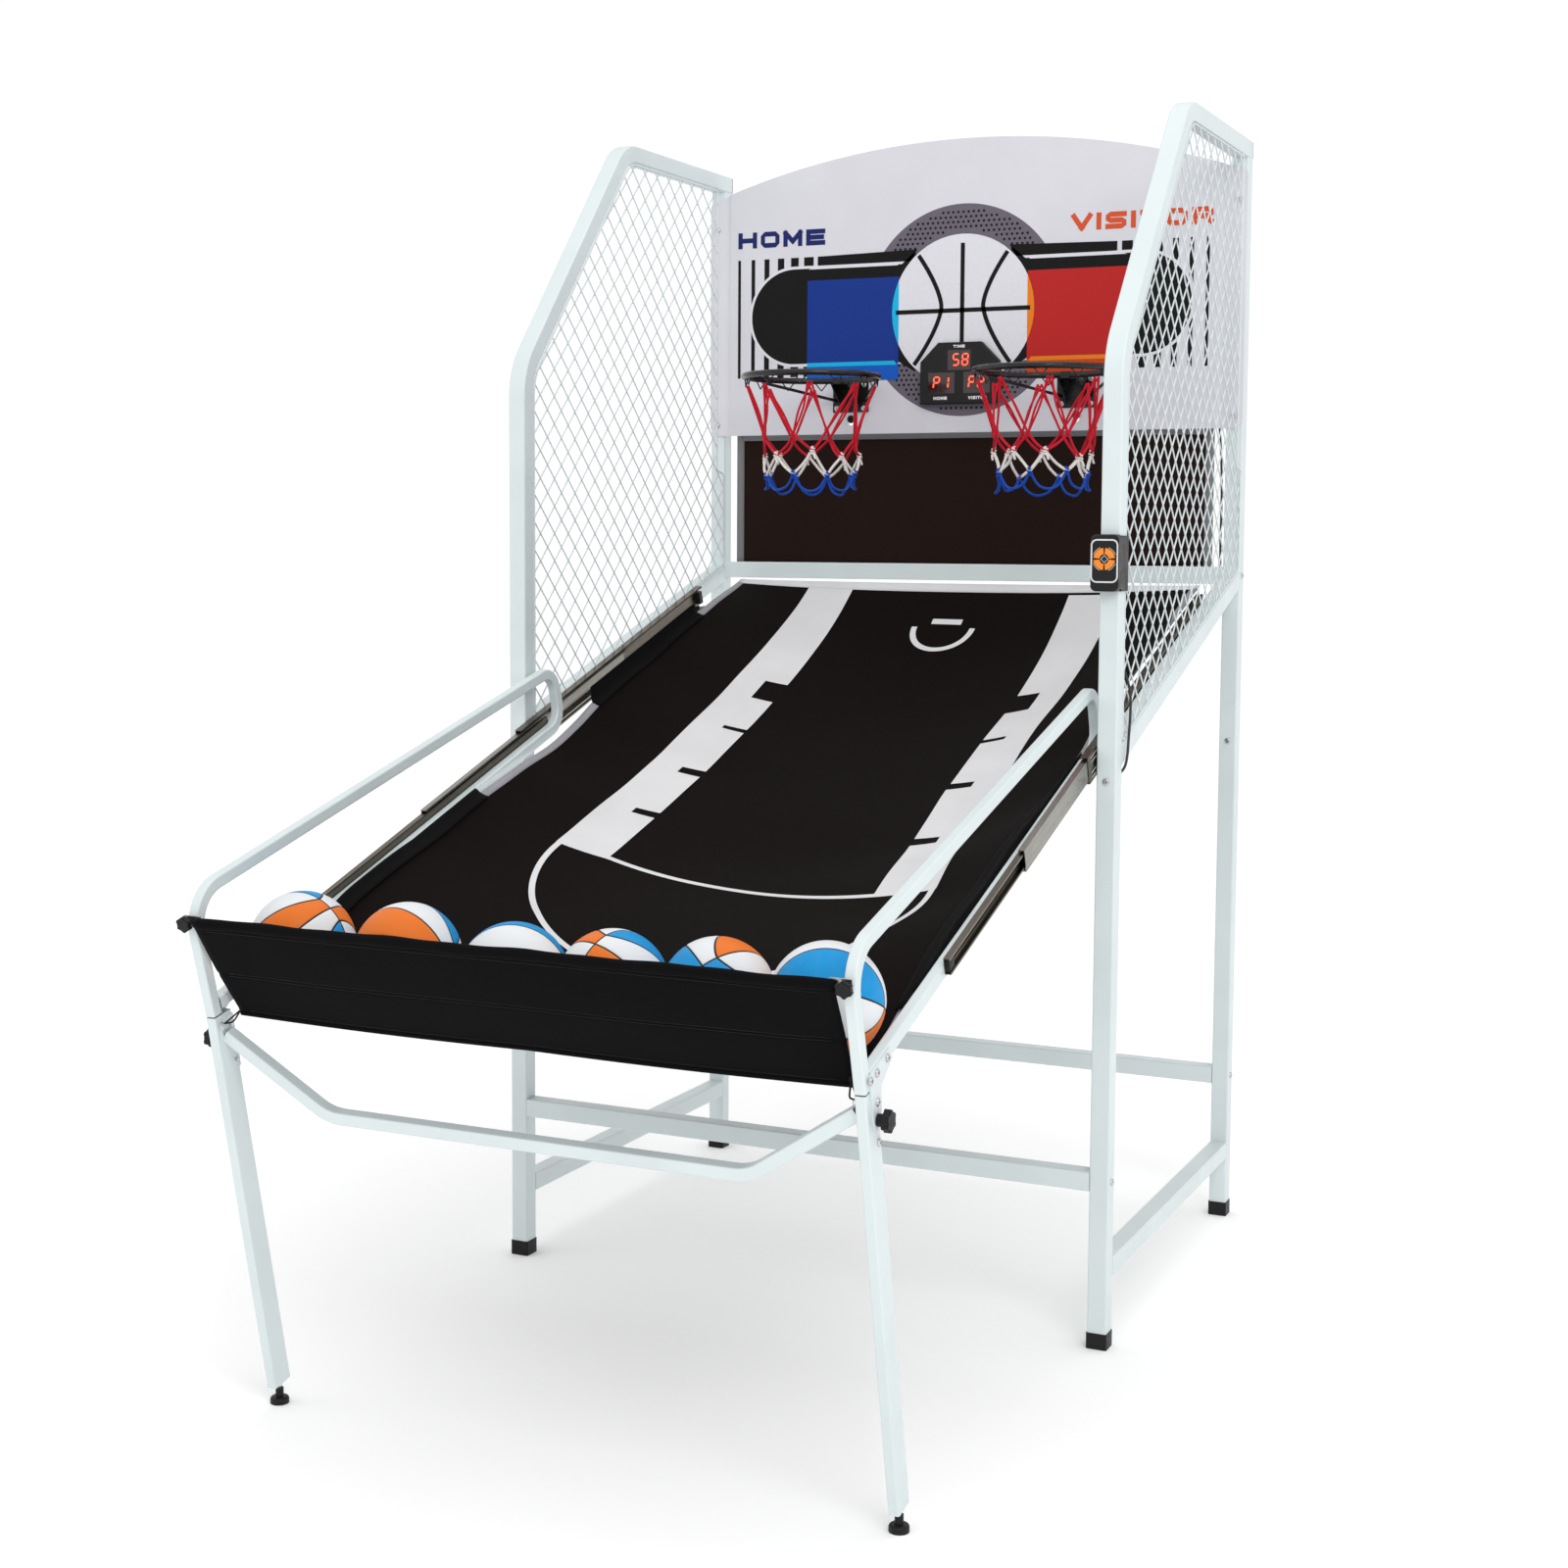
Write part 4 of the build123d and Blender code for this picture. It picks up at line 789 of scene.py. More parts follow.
def board_print():
    """The board's print, from its bottom layer to its top one."""
    ink("board_halo", ring_quads(0, DISC_Z, DISC_RADIUS - 0.01, HALO_RADIUS), HALO_GREY, 1)
    ink("board_halo_dots", halo_dots(), BOARD_BLACK, 2)
    stripes, bars, wedges = [], [], []
    for sign in (-1, 1):
        for start, width in zip(STRIPE_STARTS, STRIPE_WIDTHS):
            stripes.append(side_box(sign, start, start - width, STRIPE_LOW, BAR_TOP))
        bars += [
            on_side(sign, ((0.307, BAR_LOW), (0.307, BAR_TOP), (0.095, 1.855), (0.110, BAR_LOW))),
            on_side(sign, ((0.20, 1.826), (0.13, 1.826), (0.10, 1.851), (0.08, 1.80), (0.2, 1.8))),
            on_side(sign, ((0.137, 1.64), (0.137, 1.70), (0.09, 1.66), (0.097, 1.617))),
        ]
        wedges.append(on_side(sign, ((0.329, 1.8262), (0.137, 1.8262), (0.130, 1.8325), (0.309, 1.8315))))
    ink("board_stripes", stripes, BOARD_BLACK, 2)
    ink("board_pill_rim", [pill(PILL_HALF + 0.0055)], BOARD_PALE, 3)
    ink("board_pill", [pill(PILL_HALF)], BOARD_BLACK, 4)
    ink("board_bars", bars, BOARD_BLACK, 4.5)
    ink("board_wedges", wedges, BOARD_PALE, 5)
    for tone, (sign, patch, strip, line) in PATCHES.items():
        ink(f"board_patch_{tone}", [side_box(sign, PATCH_IN, PATCH_OUT, PATCH_LOW, PATCH_TOP)], patch, 5)
        ink(f"board_strip_{tone}", [side_box(sign, PATCH_IN, PATCH_OUT, PATCH_LOW, 1.636)], strip, 6)
        tip = on_side(sign, ((PATCH_OUT, 1.632), (0.136, 1.632), (0.142, 1.640), (PATCH_OUT, 1.640)))
        ink(f"board_line_{tone}", [tip], line, 7)
    ink("board_disc", [arc(0, DISC_Z, DISC_RADIUS, 0, 354, 59)], BOARD_PALE, 8)
    half = 180 - degrees(acos(PATCH_IN / DISC_RADIUS))
    ink("board_lens_blue", [arc(0, DISC_Z, DISC_RADIUS, half, 360 - half, 20)], PATCHES["blue"][3], 9)
    ink("board_lens_red", [arc(0, DISC_Z, DISC_RADIUS, half - 180, 180 - half, 20)], PATCHES["red"][3], 9)
    seams = ribbon([(0, 1.863), (0, 1.60)], SEAM_LINE)
    seams += ribbon([(-0.139, DISC_Z), (0.139, DISC_Z)], SEAM_LINE)
    for sign in (-1, 1):
        seams += ribbon(disc_seam(sign), SEAM_LINE)
    ink("board_disc_seams", seams, BOARD_BLACK, 10)


def ring_quads(cx, cy, inner, outer, steps=96):
    """A flat ring, one quad for each step."""
    a = arc(cx, cy, inner, 0, 360, steps)
    b = arc(cx, cy, outer, 0, 360, steps)
    return [[a[k], b[k], b[k + 1], a[k + 1]] for k in range(steps)]


# Block letters as strokes in a box one unit wide and one high.
SIDE_O = [(0.85, 0), (1, 0.2), (1, 0.8), (0.85, 1)]
ROUND_O = [(0.5, 0), *SIDE_O, *((1 - x, 1 - z) for x, z in SIDE_O), (0.5, 0)]
LOWER_S = [(0, 0), (0.85, 0), (1, 0.15), (1, 0.38), (0.85, 0.5)]
UPPER_S = [(0.15, 0.5), (0, 0.62), (0, 0.85), (0.15, 1), (1, 1)]
LETTERS = {
    "H": [[(0, 0), (0, 1)], [(1, 0), (1, 1)], [(0, 0.5), (1, 0.5)]],
    "O": [ROUND_O],
    "M": [[(0, 0), (0, 1)], [(1, 0), (1, 1)], [(0, 1), (0.5, 0.25)], [(0.5, 0.25), (1, 1)]],
    "E": [[(0, 0), (0, 1)], [(0, 1), (1, 1)], [(0, 0.5), (0.92, 0.5)], [(0, 0), (1, 0)]],
    "V": [[(0, 1), (0.5, 0)], [(0.5, 0), (1, 1)]],
    "I": [[(0.5, 0), (0.5, 1)]],
    "S": [LOWER_S + UPPER_S],
    "T": [[(0.5, 0), (0.5, 1)], [(0, 1), (1, 1)]],
    "R": [
        [(0, 0), (0, 1)],
        [(0, 1), (0.85, 1), (1, 0.85), (1, 0.6), (0.85, 0.46), (0, 0.46)],
        [(0.55, 0.46), (1, 0)],
    ],
}
STROKE_STEP = 0.00003  # each stroke lies this far over the one before
STROKE = 0.30  # stroke width over the letters' height
LETTER_GAP = 0.26


def lettering(name, words, look, span, heights, y):
    """Plain block words fitted between two X and two heights, on a face that looks along -Y."""
    left, right = span
    low, high = heights
    widths = [0.0 if letter == "I" else 1.0 for letter in words]
    thick = (high - low) * STROKE
    tall = high - low - thick
    room = right - left - thick * len(words)
    unit = room / (sum(widths) + LETTER_GAP * (len(words) - 1))
    cursor = left + thick / 2
    meshes = []
    for letter, width in zip(words, widths):
        for line in LETTERS[letter]:
            points = [(cursor + x * width * unit, low + thick / 2 + z * tall) for x, z in line]
            lift = STROKE_STEP * (len(meshes) % 4)
            outlines = ribbon(square_ends(points, thick / 2), thick)
            meshes.append(printed_mesh(outlines, lambda a, b, lift=lift: Vector((a, y - lift, b))))
        cursor += unit * (width + LETTER_GAP) + thick
    new_piece(name, merged(meshes), look, "cage", smooth=False)


def square_ends(points, extra):
    """A line made longer at both of its ends, unless it is a closed ring."""
    if points[0] == points[-1]:
        return points
    first, last = [Vector(p) for p in points[:2]], [Vector(p) for p in points[-2:]]
    start = first[0] + (first[0] - first[1]).normalized() * extra
    end = last[1] + (last[1] - last[0]).normalized() * extra
    return [tuple(start), *points[1:-1], tuple(end)]


def merged(meshes):
    """Several meshes as one."""
    made = bmesh.new()
    for mesh in meshes:
        made.from_mesh(mesh)
        bpy.data.meshes.remove(mesh)
    return finished(made, "merged")


def board_words():
    y = BOARD_FACE - INK_STEP * 2
    heights = (1.874, 1.906)
    navy = print_ink_and_shade("board_word_home_look", (0.012, 0.02, 0.12))
    flame = print_ink_and_shade("board_word_visitor_look", (0.62, 0.085, 0.03))
    lettering("board_word_home", "HOME", navy, (-0.486, -0.293), heights, y)
    lettering("board_word_visitor", "VISITOR", flame, (0.218, 0.492), heights, y)


# ---- scoreboard
SCORE_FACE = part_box("scoreboard_housing")[0].y
SEGMENTS = {"1": "bc", "2": "abged", "5": "afgcd", "8": "abcdefg", "P": "abefg"}
DIGIT_HEIGHT = 0.0215
DIGIT_WIDTH = DIGIT_HEIGHT * 0.52
DIGIT_STEP = 0.019
DIGIT_LEAN = 0.08
# Middle, foot and signs of each window's digits.
READINGS = {"time": (0.0, 1.6265, "58"), "home": (-0.0365, 1.5825, "P1"), "visitor": (0.0365, 1.5825, "P2")}
# Ends and heights of each printed word.
SCORE_WORDS = {
    "TIME": ((-0.012, 0.012), (1.6600, 1.6655)),
    "HOME": ((-0.052, -0.024), (1.5600, 1.5660)),
    "VISITOR": ((0.020, 0.058), (1.5600, 1.5660)),
}


def seven_segments(sign, left, low):
    """Outlines of one digit's lit segments; each is a bar with pointed ends."""
    right, top = left + DIGIT_WIDTH, low + DIGIT_HEIGHT
    middle = low + DIGIT_HEIGHT / 2
    thick = DIGIT_HEIGHT * 0.13
    gap, half = thick * 0.25, thick / 2
    ends = {
        "a": ((left, top), (right, top)),
        "g": ((left, middle), (right, middle)),
        "d": ((left, low), (right, low)),
        "f": ((left, middle), (left, top)),
        "b": ((right, middle), (right, top)),
        "e": ((left, low), (left, middle)),
        "c": ((right, low), (right, middle)),
    }
    outlines = []
    for key in SEGMENTS[sign]:
        (x0, z0), (x1, z1) = ends[key]
        long = hypot(x1 - x0, z1 - z0)
        ux, uz = (x1 - x0) / long, (z1 - z0) / long

        def at(along, off):
            return x0 + ux * along - uz * off, z0 + uz * along + ux * off

        bar = [at(gap, 0), at(gap + half, -half), at(long - gap - half, -half)]
        bar += [at(long - gap, 0), at(long - gap - half, half), at(gap + half, half)]
        outlines.append(bar)
    return outlines


def scoreboard_display():
    """Digits on each window and printed words on the housing."""
    glass_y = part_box("score_windows")[0].y - 0.0002
    lean_from = 1.6
    glow = glowing_segment("score_digit_look")

    def on_glass(x, z):
        return Vector((x + (z - lean_from) * DIGIT_LEAN, glass_y, z))

    for name, (middle, low, signs) in READINGS.items():
        outlines = []
        for k, sign in enumerate(signs):
            outlines += seven_segments(sign, middle + (k - 0.5) * DIGIT_STEP - DIGIT_WIDTH / 2, low)
        printed(f"score_digits_{name}", outlines, on_glass, glow)
    white = print_ink_and_shade("score_word_look", (0.75, 0.75, 0.76))
    y = SCORE_FACE - 0.0003
    for word, (span, heights) in SCORE_WORDS.items():
        lettering(f"score_word_{word.lower()}", word, white, span, heights, y)


# ---- hoop nets
NET_STRANDS = 8
CORD = 0.0021
NET_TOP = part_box("hoop_net_left")[1].z + 0.0155
KNOT_DROPS = {1: 0.108, 2: 0.147, 3: 0.187}  # each row of knots below the ring
# How far the net hangs below the ring against its radius there.
NET_SHAPE = [(0.0, 0.124), (0.02, 0.121), (0.115, 0.094), (0.155, 0.089), (0.20, 0.086), (0.25, 0.082)]
NET_LOOKS = {
    "red": cord_fibre("net_red_look", (0.62, 0.008, 0.026)),
    "white": cord_fibre("net_white_look", (0.86, 0.82, 0.78)),
    "blue": cord_fibre("net_blue_look", (0.006, 0.070, 0.46)),
}


def down(drop):
    """A step straight down."""
    return Vector((0, 0, -drop))


def hoop_net(side):
    """Knotted cord in three dyed bands: long red strands, a white band and blue bottom loops."""
    ring_low, ring_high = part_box(f"hoop_{side}")
    centre_x = (ring_low.x + ring_high.x) / 2
    centre_y = ring_low.y + (ring_high.x - ring_low.x) / 2
    rng = random.Random(41 + SIDES[side])
    step = 2 * pi / NET_STRANDS
    jitter = {}
    parts = {"red": [], "white": [], "blue": []}

    def at(turn, drop, puff=0.0):
        reach = interpolate(NET_SHAPE, drop) + puff
        return Vector((centre_x + reach * cos(turn), centre_y + reach * sin(turn), NET_TOP - drop))

    def outward_at(place):
        return Vector((place.x - centre_x, place.y - centre_y, 0)).normalized()

    def knot(level, k):
        """The place of one knot, a little out of true in its own way."""
        key = (level, k % NET_STRANDS)
        if key not in jitter:
            jitter[key] = (rng.uniform(-0.07, 0.07), rng.uniform(-0.009, 0.009), rng.uniform(-0.004, 0.004))
        turn, drop, puff = jitter[key]
        half = 0.5 if level == 2 else 1.0
        return at((k + half) * step + turn, KNOT_DROPS[level] + drop, puff)

    def strand(colour, a, b, sag=0.0, spread=0.0, radius=CORD):
        middle = (a + b) / 2
        outward = outward_at(middle)
        tangent = Vector((-outward.y, outward.x, 0))
        bend = outward * rng.uniform(-0.004, 0.003) + tangent * (spread + rng.uniform(-0.003, 0.003))
        middle = middle + bend + down(sag)
        parts[colour].append(tube(smooth_path([a, middle, b], 7), radius, 7))

    def lump(colour, place, size):
        """A knot: a short fat spindle wound across the cords."""
        outward = outward_at(place)
        tangent = Vector((-outward.y, outward.x, 0))
        coil = []
        for i in range(22):
            turn = 2 * pi * i / 7.3
            along = (i / 21 - 0.5) * size * 1.5
            reach = size * 0.46 * (1 - 0.5 * abs(2 * i / 21 - 1))
            coil.append(place + tangent * reach * cos(turn) + outward * reach * sin(turn) - down(along))
        parts[colour].append(tube(coil, CORD * 0.85, 6))

    for k in range(NET_STRANDS):
        loop = at((k + 0.5) * step, 0.012)
        for way in (-1, 0):
            target = knot(1, k + way)
            for lean in (-0.004, 0.004):
                shift = Vector((lean * sin(k * step), -lean * cos(k * step), 0))
                strand("red", loop + shift, target, spread=lean)
        lump("red", knot(1, k), 0.008)
        for way in (0, 1):
            strand("red", knot(1, k), knot(2, k + way), sag=0.002, radius=CORD * 1.25)
        lump("white", knot(2, k), 0.010)
        for way in (-1, 0):
            strand("white", knot(2, k), knot(3, k + way), sag=0.003, radius=CORD * 1.3)
        lump("blue", knot(3, k), 0.010)
        a, b = knot(3, k), knot(3, k + 1)
        low = (a + b) / 2
        out = outward_at(low)
        drop = 0.030 + rng.uniform(-0.006, 0.006)
        swag = [a, a.lerp(b, 0.22) + down(drop * 0.75), low + out * 0.006 + down(drop)]
        swag += [a.lerp(b, 0.78) + down(drop * 0.75), b]
        parts["blue"].append(tube(smooth_path(swag, 7), CORD * 1.2, 7))
        tail = knot(2, k)
        stub = [tail, tail + out * 0.004 + down(0.008), tail + out * 0.005 + Vector((0.002, 0, -0.016))]
        parts["white"].append(tube(smooth_path(stub, 4), CORD * 1.1, 6))
    for colour, cords in parts.items():
        name = f"hoop_net_{side}_{colour}"
        new_piece(name, mesh_of(*cords), NET_LOOKS[colour], "cage")
    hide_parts(f"hoop_net_{side}")


# ---- ramp cloth
CLOTH_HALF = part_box("playfield_cloth")[1].x
CLOTH_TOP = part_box("playfield_cloth")[1].y - POST_FRONT
CLOTH_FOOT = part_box("playfield_cloth")[0].y - POST_FRONT
CLOTH_THICK = 0.0012
BINDING = 0.013
CLOTH_LOOK = woven("ramp_cloth_look", (0.0062, 0.0038, 0.0036), 0.0016, ALONG_RAMP, 0.02, 0.5)
PRINT_LOOK = woven("court_print_look", (0.76, 0.76, 0.77), 0.0016, ALONG_RAMP, 0.1, 0.10)
BINDING_LOOK = woven("cloth_binding_look", (0.34, 0.34, 0.37), 0.0022, (-SLOPE, 0, radians(45)), 0.3, 0.3)

# Distance behind the front faces of the posts against height, along the cloth's edges and middle.
EDGE_LINE = [
    (-0.845, 0.616),
    (-0.815, 0.622),
    (-0.790, 0.630),
    (-0.740, 0.648),
    (-0.700, 0.668),
    (-0.640, 0.704),
    (-0.579, 0.737),
    (-0.386, 0.803),
    (-0.193, 0.869),
    (-0.100, 0.893),
    (0.000, 0.918),
    (0.100, 0.956),
    (0.187, 1.000),
    (0.400, 1.074),
    (0.612, 1.147),
    (0.700, 1.176),
    (0.788, 1.203),
]
MIDDLE_LINE = [
    (-0.845, 0.611),
    (-0.825, 0.6115),
    (-0.795, 0.6150),
    (-0.760, 0.6245),
    (-0.700, 0.6440),
    (-0.640, 0.6600),
    (-0.579, 0.6750),
    (-0.400, 0.7160),
    (-0.193, 0.7650),
    (0.000, 0.8260),
    (0.187, 0.8860),
    (0.400, 0.9680),
    (0.612, 1.0720),
    (0.700, 1.1300),
    (0.788, 1.2000),
]


def cloth_height(x, back):
    """Height of the ramp cloth at X and a distance behind the posts' front faces."""
    share = min(abs(x) / CLOTH_HALF, 1.0)
    weight = 1 - share**2.2
    height = interpolate(EDGE_LINE, back) * (1 - weight) + interpolate(MIDDLE_LINE, back) * weight
    fold = sin(back * 11 + x * 3) * sin(x * 7 + 1.3) * 0.0022
    ripple = sin(back * 34 + x * 9 + 2) * 0.0008 * share
    loose = max(0.0, x / CLOTH_HALF) ** 2 * 0.006 * sin(back * 24 + 1.2) * (1 - share**6)
    fold += loose * min(1.0, max(0.0, (0.25 - back) / 0.2))
    fade = min(1.0, (CLOTH_TOP - back) / 0.08, (back - CLOTH_FOOT) / 0.08)
    return height + (fold + ripple) * max(fade, 0)


def cloth_point(x, back, rise=0.0):
    """A point of the cloth, or of something that lies a little above it."""
    step = 0.004
    z = cloth_height(x, back)
    slope_y = (cloth_height(x, back + step) - z) / step
    slope_x = (cloth_height(x + step, back) - z) / step
    normal = Vector((-slope_x, -slope_y, 1)).normalized()
    return Vector((x, POST_FRONT + back, z)) + normal * rise


def ride_the_slope(piece):
    """Bake the piece's placing into its mesh."""
    start = cloth_point(0, CLOTH_TOP)
    end = cloth_point(0, CLOTH_FOOT)
    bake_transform(piece)


def cloth_piece(name, mesh, look):
    """A part of the ramp cloth, with its placing baked into its mesh."""
    piece = new_piece(name, mesh, look, None)
    ride_the_slope(piece)
    return piece


def ramp_cloth():
    """The cloth, its edging and its print."""
    columns, rows = 73, 150
    grid = []
    for r in range(rows):
        back = CLOTH_FOOT + (CLOTH_TOP - CLOTH_FOOT) * r / (rows - 1)
        grid.append([cloth_point(CLOTH_HALF * (2 * c / (columns - 1) - 1), back) for c in range(columns)])
    cloth = cloth_piece("ramp_cloth", mesh_of(thick_grid(grid, CLOTH_THICK)), CLOTH_LOOK)
    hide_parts("playfield_cloth")
    extras = [*cloth_edging(), *court_print()]


def cloth_edging():
    """Grey woven binding folded over each side edge, and a white hem at the top."""
    made = []
    for side, sign in SIDES.items():
        rows = []
        for r in range(140):
            back = CLOTH_FOOT + (CLOTH_TOP - CLOTH_FOOT) * r / 139
            inner = cloth_point(sign * (CLOTH_HALF - BINDING), back, 0.0007)
            middle = cloth_point(sign * (CLOTH_HALF - BINDING / 2), back, 0.0012)
            outer = cloth_point(sign * CLOTH_HALF, back, 0.0009) + Vector((sign * 0.0014, 0, 0))
            under = cloth_point(sign * CLOTH_HALF, back, -0.0018) + Vector((sign * 0.0008, 0, 0))
            rows.append([inner, middle, outer, under])
        shell = mesh_of(thick_grid(rows, 0.0006 * sign))
        made.append(cloth_piece(f"ramp_cloth_binding_{side}", shell, BINDING_LOOK))
    rows = []
    for down_from_top, rise in ((0.020, 0.0006), (0.012, 0.0022), (0.004, 0.0022), (0.0, 0.0006)):
        back = CLOTH_TOP - down_from_top
        rows.append([cloth_point(CLOTH_HALF * (2 * c / 80 - 1) * 0.995, back, rise) for c in range(81)])
    made.append(cloth_piece("ramp_cloth_top_hem", mesh_of(thick_grid(rows, 0.0005)), PRINT_LOOK))
    return made


LANE_IN, LANE_OUT = 0.221, 0.317
LANE_FOOT = -0.240
NOTCH_DEEP = 0.043
NOTCHES = ((0.389, 0.455), (0.266, 0.279), (0.090, 0.113), (-0.078, -0.058))
# The slack cloth is pulled across towards its right-hand side, most of all near the balls.
PULL_ACROSS = [
    (-0.55, 0.050),
    (-0.30, 0.062),
    (-0.10, 0.041),
    (0.00, 0.029),
    (0.10, 0.017),
    (0.28, 0.014),
    (0.45, 0.019),
    (0.79, 0.010),
]
PULL_DOWN = [
    (-0.55, 0.110),
    (-0.23, 0.090),
    (-0.06, 0.046),
    (0.10, 0.004),
    (0.28, 0.005),
    (0.45, 0.015),
    (0.79, 0.006),
]
SIGN_BACK = 0.684  # the arc of the hoop sign, behind the front faces of the posts
SIGN_RADIUS = 0.058


def lane_outline(sign):
    """One painted lane edge, with notches cut in from its inner side."""
    points = [(LANE_OUT, CLOTH_TOP - 0.02), (LANE_OUT, LANE_FOOT), (LANE_IN, LANE_FOOT)]
    deep = LANE_IN + NOTCH_DEEP
    for low, high in sorted(NOTCHES):
        points += [(LANE_IN, low), (deep, low - 0.003), (deep, high - 0.005), (LANE_IN, high)]
    points.append((LANE_IN, CLOTH_TOP - 0.02))
    return on_side(sign, points)


def court_print():
    """Lane edges, free-throw line and arc, and the hoop sign near the top."""

    def place(x, back):
        share = min(max((x + LANE_IN) / (2 * LANE_IN), 0.0), 1.2)
        across = interpolate(PULL_ACROSS, back) * share
        down = interpolate(PULL_DOWN, back) * share
        return cloth_point(x + across, max(back - down, CLOTH_FOOT + 0.005), 0.0009)

    lanes = printed_mesh([lane_outline(sign) for sign in (-1, 1)], place, 0.012)
    line = ribbon([(x * 0.01, LANE_FOOT + 0.004) for x in range(-31, 32)], 0.010)
    line += ribbon(arc(0, LANE_FOOT, LANE_OUT - 0.006, 180, 360, 90), 0.010)
    line += ribbon(arc(0, SIGN_BACK, SIGN_RADIUS, 180, 360, 40), 0.011)
    line += ribbon([(x * 0.01 + 0.002, SIGN_BACK + 0.015) for x in range(-3, 4)], 0.013)
    lines = printed_mesh(line, place)
    return [cloth_piece("court_lanes", lanes, PRINT_LOOK), cloth_piece("court_lines", lines, PRINT_LOOK)]


# ---- side sleeves of the cloth
SLEEVE_LOOK = woven("cloth_sleeve_look", (0.0055, 0.0055, 0.0062), 0.0014, ALONG_RAMP, 0.02, 0.4)
SLIDE_Z = 0.9415  # height of the slides' centre line at the front faces of the posts
RAIL_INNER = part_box("guard_loop_right")[0].x
SLIDE_INNER = 0.4835
# Place and side, from and to behind the posts' front faces, body, X and rise of the edge that is stuck.
SLEEVES = (
    ("lower", "left", -0.660, -0.215, "front_frame", RAIL_INNER, 0.0025),
    ("lower", "right", -0.690, 0.030, "front_frame", RAIL_INNER, 0.0025),
    ("upper", "left", 0.165, 0.582, "cage", SLIDE_INNER, 0.0190),
    ("upper", "right", 0.165, 0.582, "cage", SLIDE_INNER, 0.0190),
)


def cloth_sleeves():
    """Black bands sewn to the cloth's edges and stuck to the inner faces of the rails and the slides."""
    steps = 40
    for place, side, low, high, body, attach, top_rise in SLEEVES:
        sign = SIDES[side]
        rows = []
        for r in range(steps + 1):
            back = low + (high - low) * r / steps
            stuck = SLIDE_Z + tan(SLOPE) * back + top_rise
            seam = cloth_point(sign * (CLOTH_HALF - 0.016), back, 0.0030)
            wave = 0.0005 * sin(r * 1.7 + sign)
            face = sign * (attach - 0.0016)
            points = [
                seam,
                (sign * (CLOTH_HALF - 0.002), seam.y, seam.z + 0.0055 + wave),
                (face - sign * 0.002, seam.y, seam.z + 0.012),
                (face, seam.y, stuck - 0.008),
                (face, seam.y, stuck),
            ]
            rows.append(smooth_path(points, 3))
        band = mesh_of(thick_grid(rows, 0.0012 * -sign))
        new_piece(f"cloth_sleeve_{place}_{side}", band, SLEEVE_LOOK, body)


# ---- front net
NET_LOOK = woven("front_net_look", (0.0044, 0.0044, 0.0050), 0.0015, UPRIGHT, 0.02, 0.35)
THREAD_LOOK = cord_fibre("seam_thread_look", (0.013, 0.013, 0.015))
NET_TOP_HALF, NET_FOOT_HALF = 0.484, 0.4735
NET_FOOT = (POST_FRONT - 0.852, 0.612)
HEM_RADIUS = 0.008


def front_net():
    """The black panel in front of the balls: a hem round the rod, a seam across, and a hemmed foot."""
    low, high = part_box("front_net")
    hem_y, hem_z = low.y + HEM_RADIUS, high.z - HEM_RADIUS
    top_y, top_z = hem_y - 0.004, hem_z - 0.004
    foot_y, foot_z = NET_FOOT
    columns = 97
    rows = []
    steps = 34
    for r in range(steps + 1):
        t = r / steps
        row = []
        for c in range(columns):
            u = 2 * c / (columns - 1) - 1
            x = u * (NET_TOP_HALF + (NET_FOOT_HALF - NET_TOP_HALF) * t**0.8)
            y = top_y + (foot_y - top_y) * t
            z = top_z + (foot_z - top_z) * t
            belly = 0.006 * sin(pi * t) * (1 - u**4)
            crease = 0.0018 * sin(x * 19 + t * 3) * sin(x * 7.3) * sin(pi * min(t * 1.3, 1))
            pull = 0.0035 * sin(pi * t) * sin(x * 31) * max(0, abs(u) - 0.75) * 4
            droop = -0.002 * (1 - u * u) * t - 0.002 * sin(pi * abs(u)) * t
            seam = 0.0016 * max(0, 1 - abs(t - 0.53) / 0.025)
            row.append(Vector((x, y - belly + crease + pull + seam, z + droop)))
        rows.append(row)

    def net_piece(name, *shapes, look=NET_LOOK):
        return new_piece(name, mesh_of(*shapes), look, "front_frame")

    panel = net_piece("front_net_panel", thick_grid(rows, -0.0012))
    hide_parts("front_net")
    hem = []
    for c in range(121):
        x = NET_TOP_HALF * (2 * c / 120 - 1)
        hem.append((x, hem_y + 0.0006 * sin(x * 43), hem_z + 0.0007 * sin(x * 29)))

    def hem_radius(t):
        return 0.0078 + 0.0005 * sin(t * 61) - 0.002 * max(0, abs(2 * t - 1) - 0.98) / 0.02

    top_hem = net_piece("front_net_top_hem", tube(hem, hem_radius, 18))
    foot = [p + Vector((0, 0.0005, 0.001)) for p in rows[-1]]
    foot_hem = net_piece("front_net_foot_hem", tube(foot, 0.0042, 10))
    stitches = []
    for t in (0.045, 0.515, 0.545, 0.955):
        r = int(t * steps)
        share = t * steps - r
        line = []
        for c in range(2, columns - 2):
            line.append(rows[r][c].lerp(rows[r + 1][c], share) + Vector((0, -0.0006, 0)))
        stitches.append(tube(line, 0.00045, 5))
    thread = net_piece("front_net_stitching", *stitches, look=THREAD_LOOK)


# ---- elastic ties
HOOK_LOOK = plated_steel("hook_wire_look", (0.55, 0.56, 0.57), 0.25, (400, 400, 400))


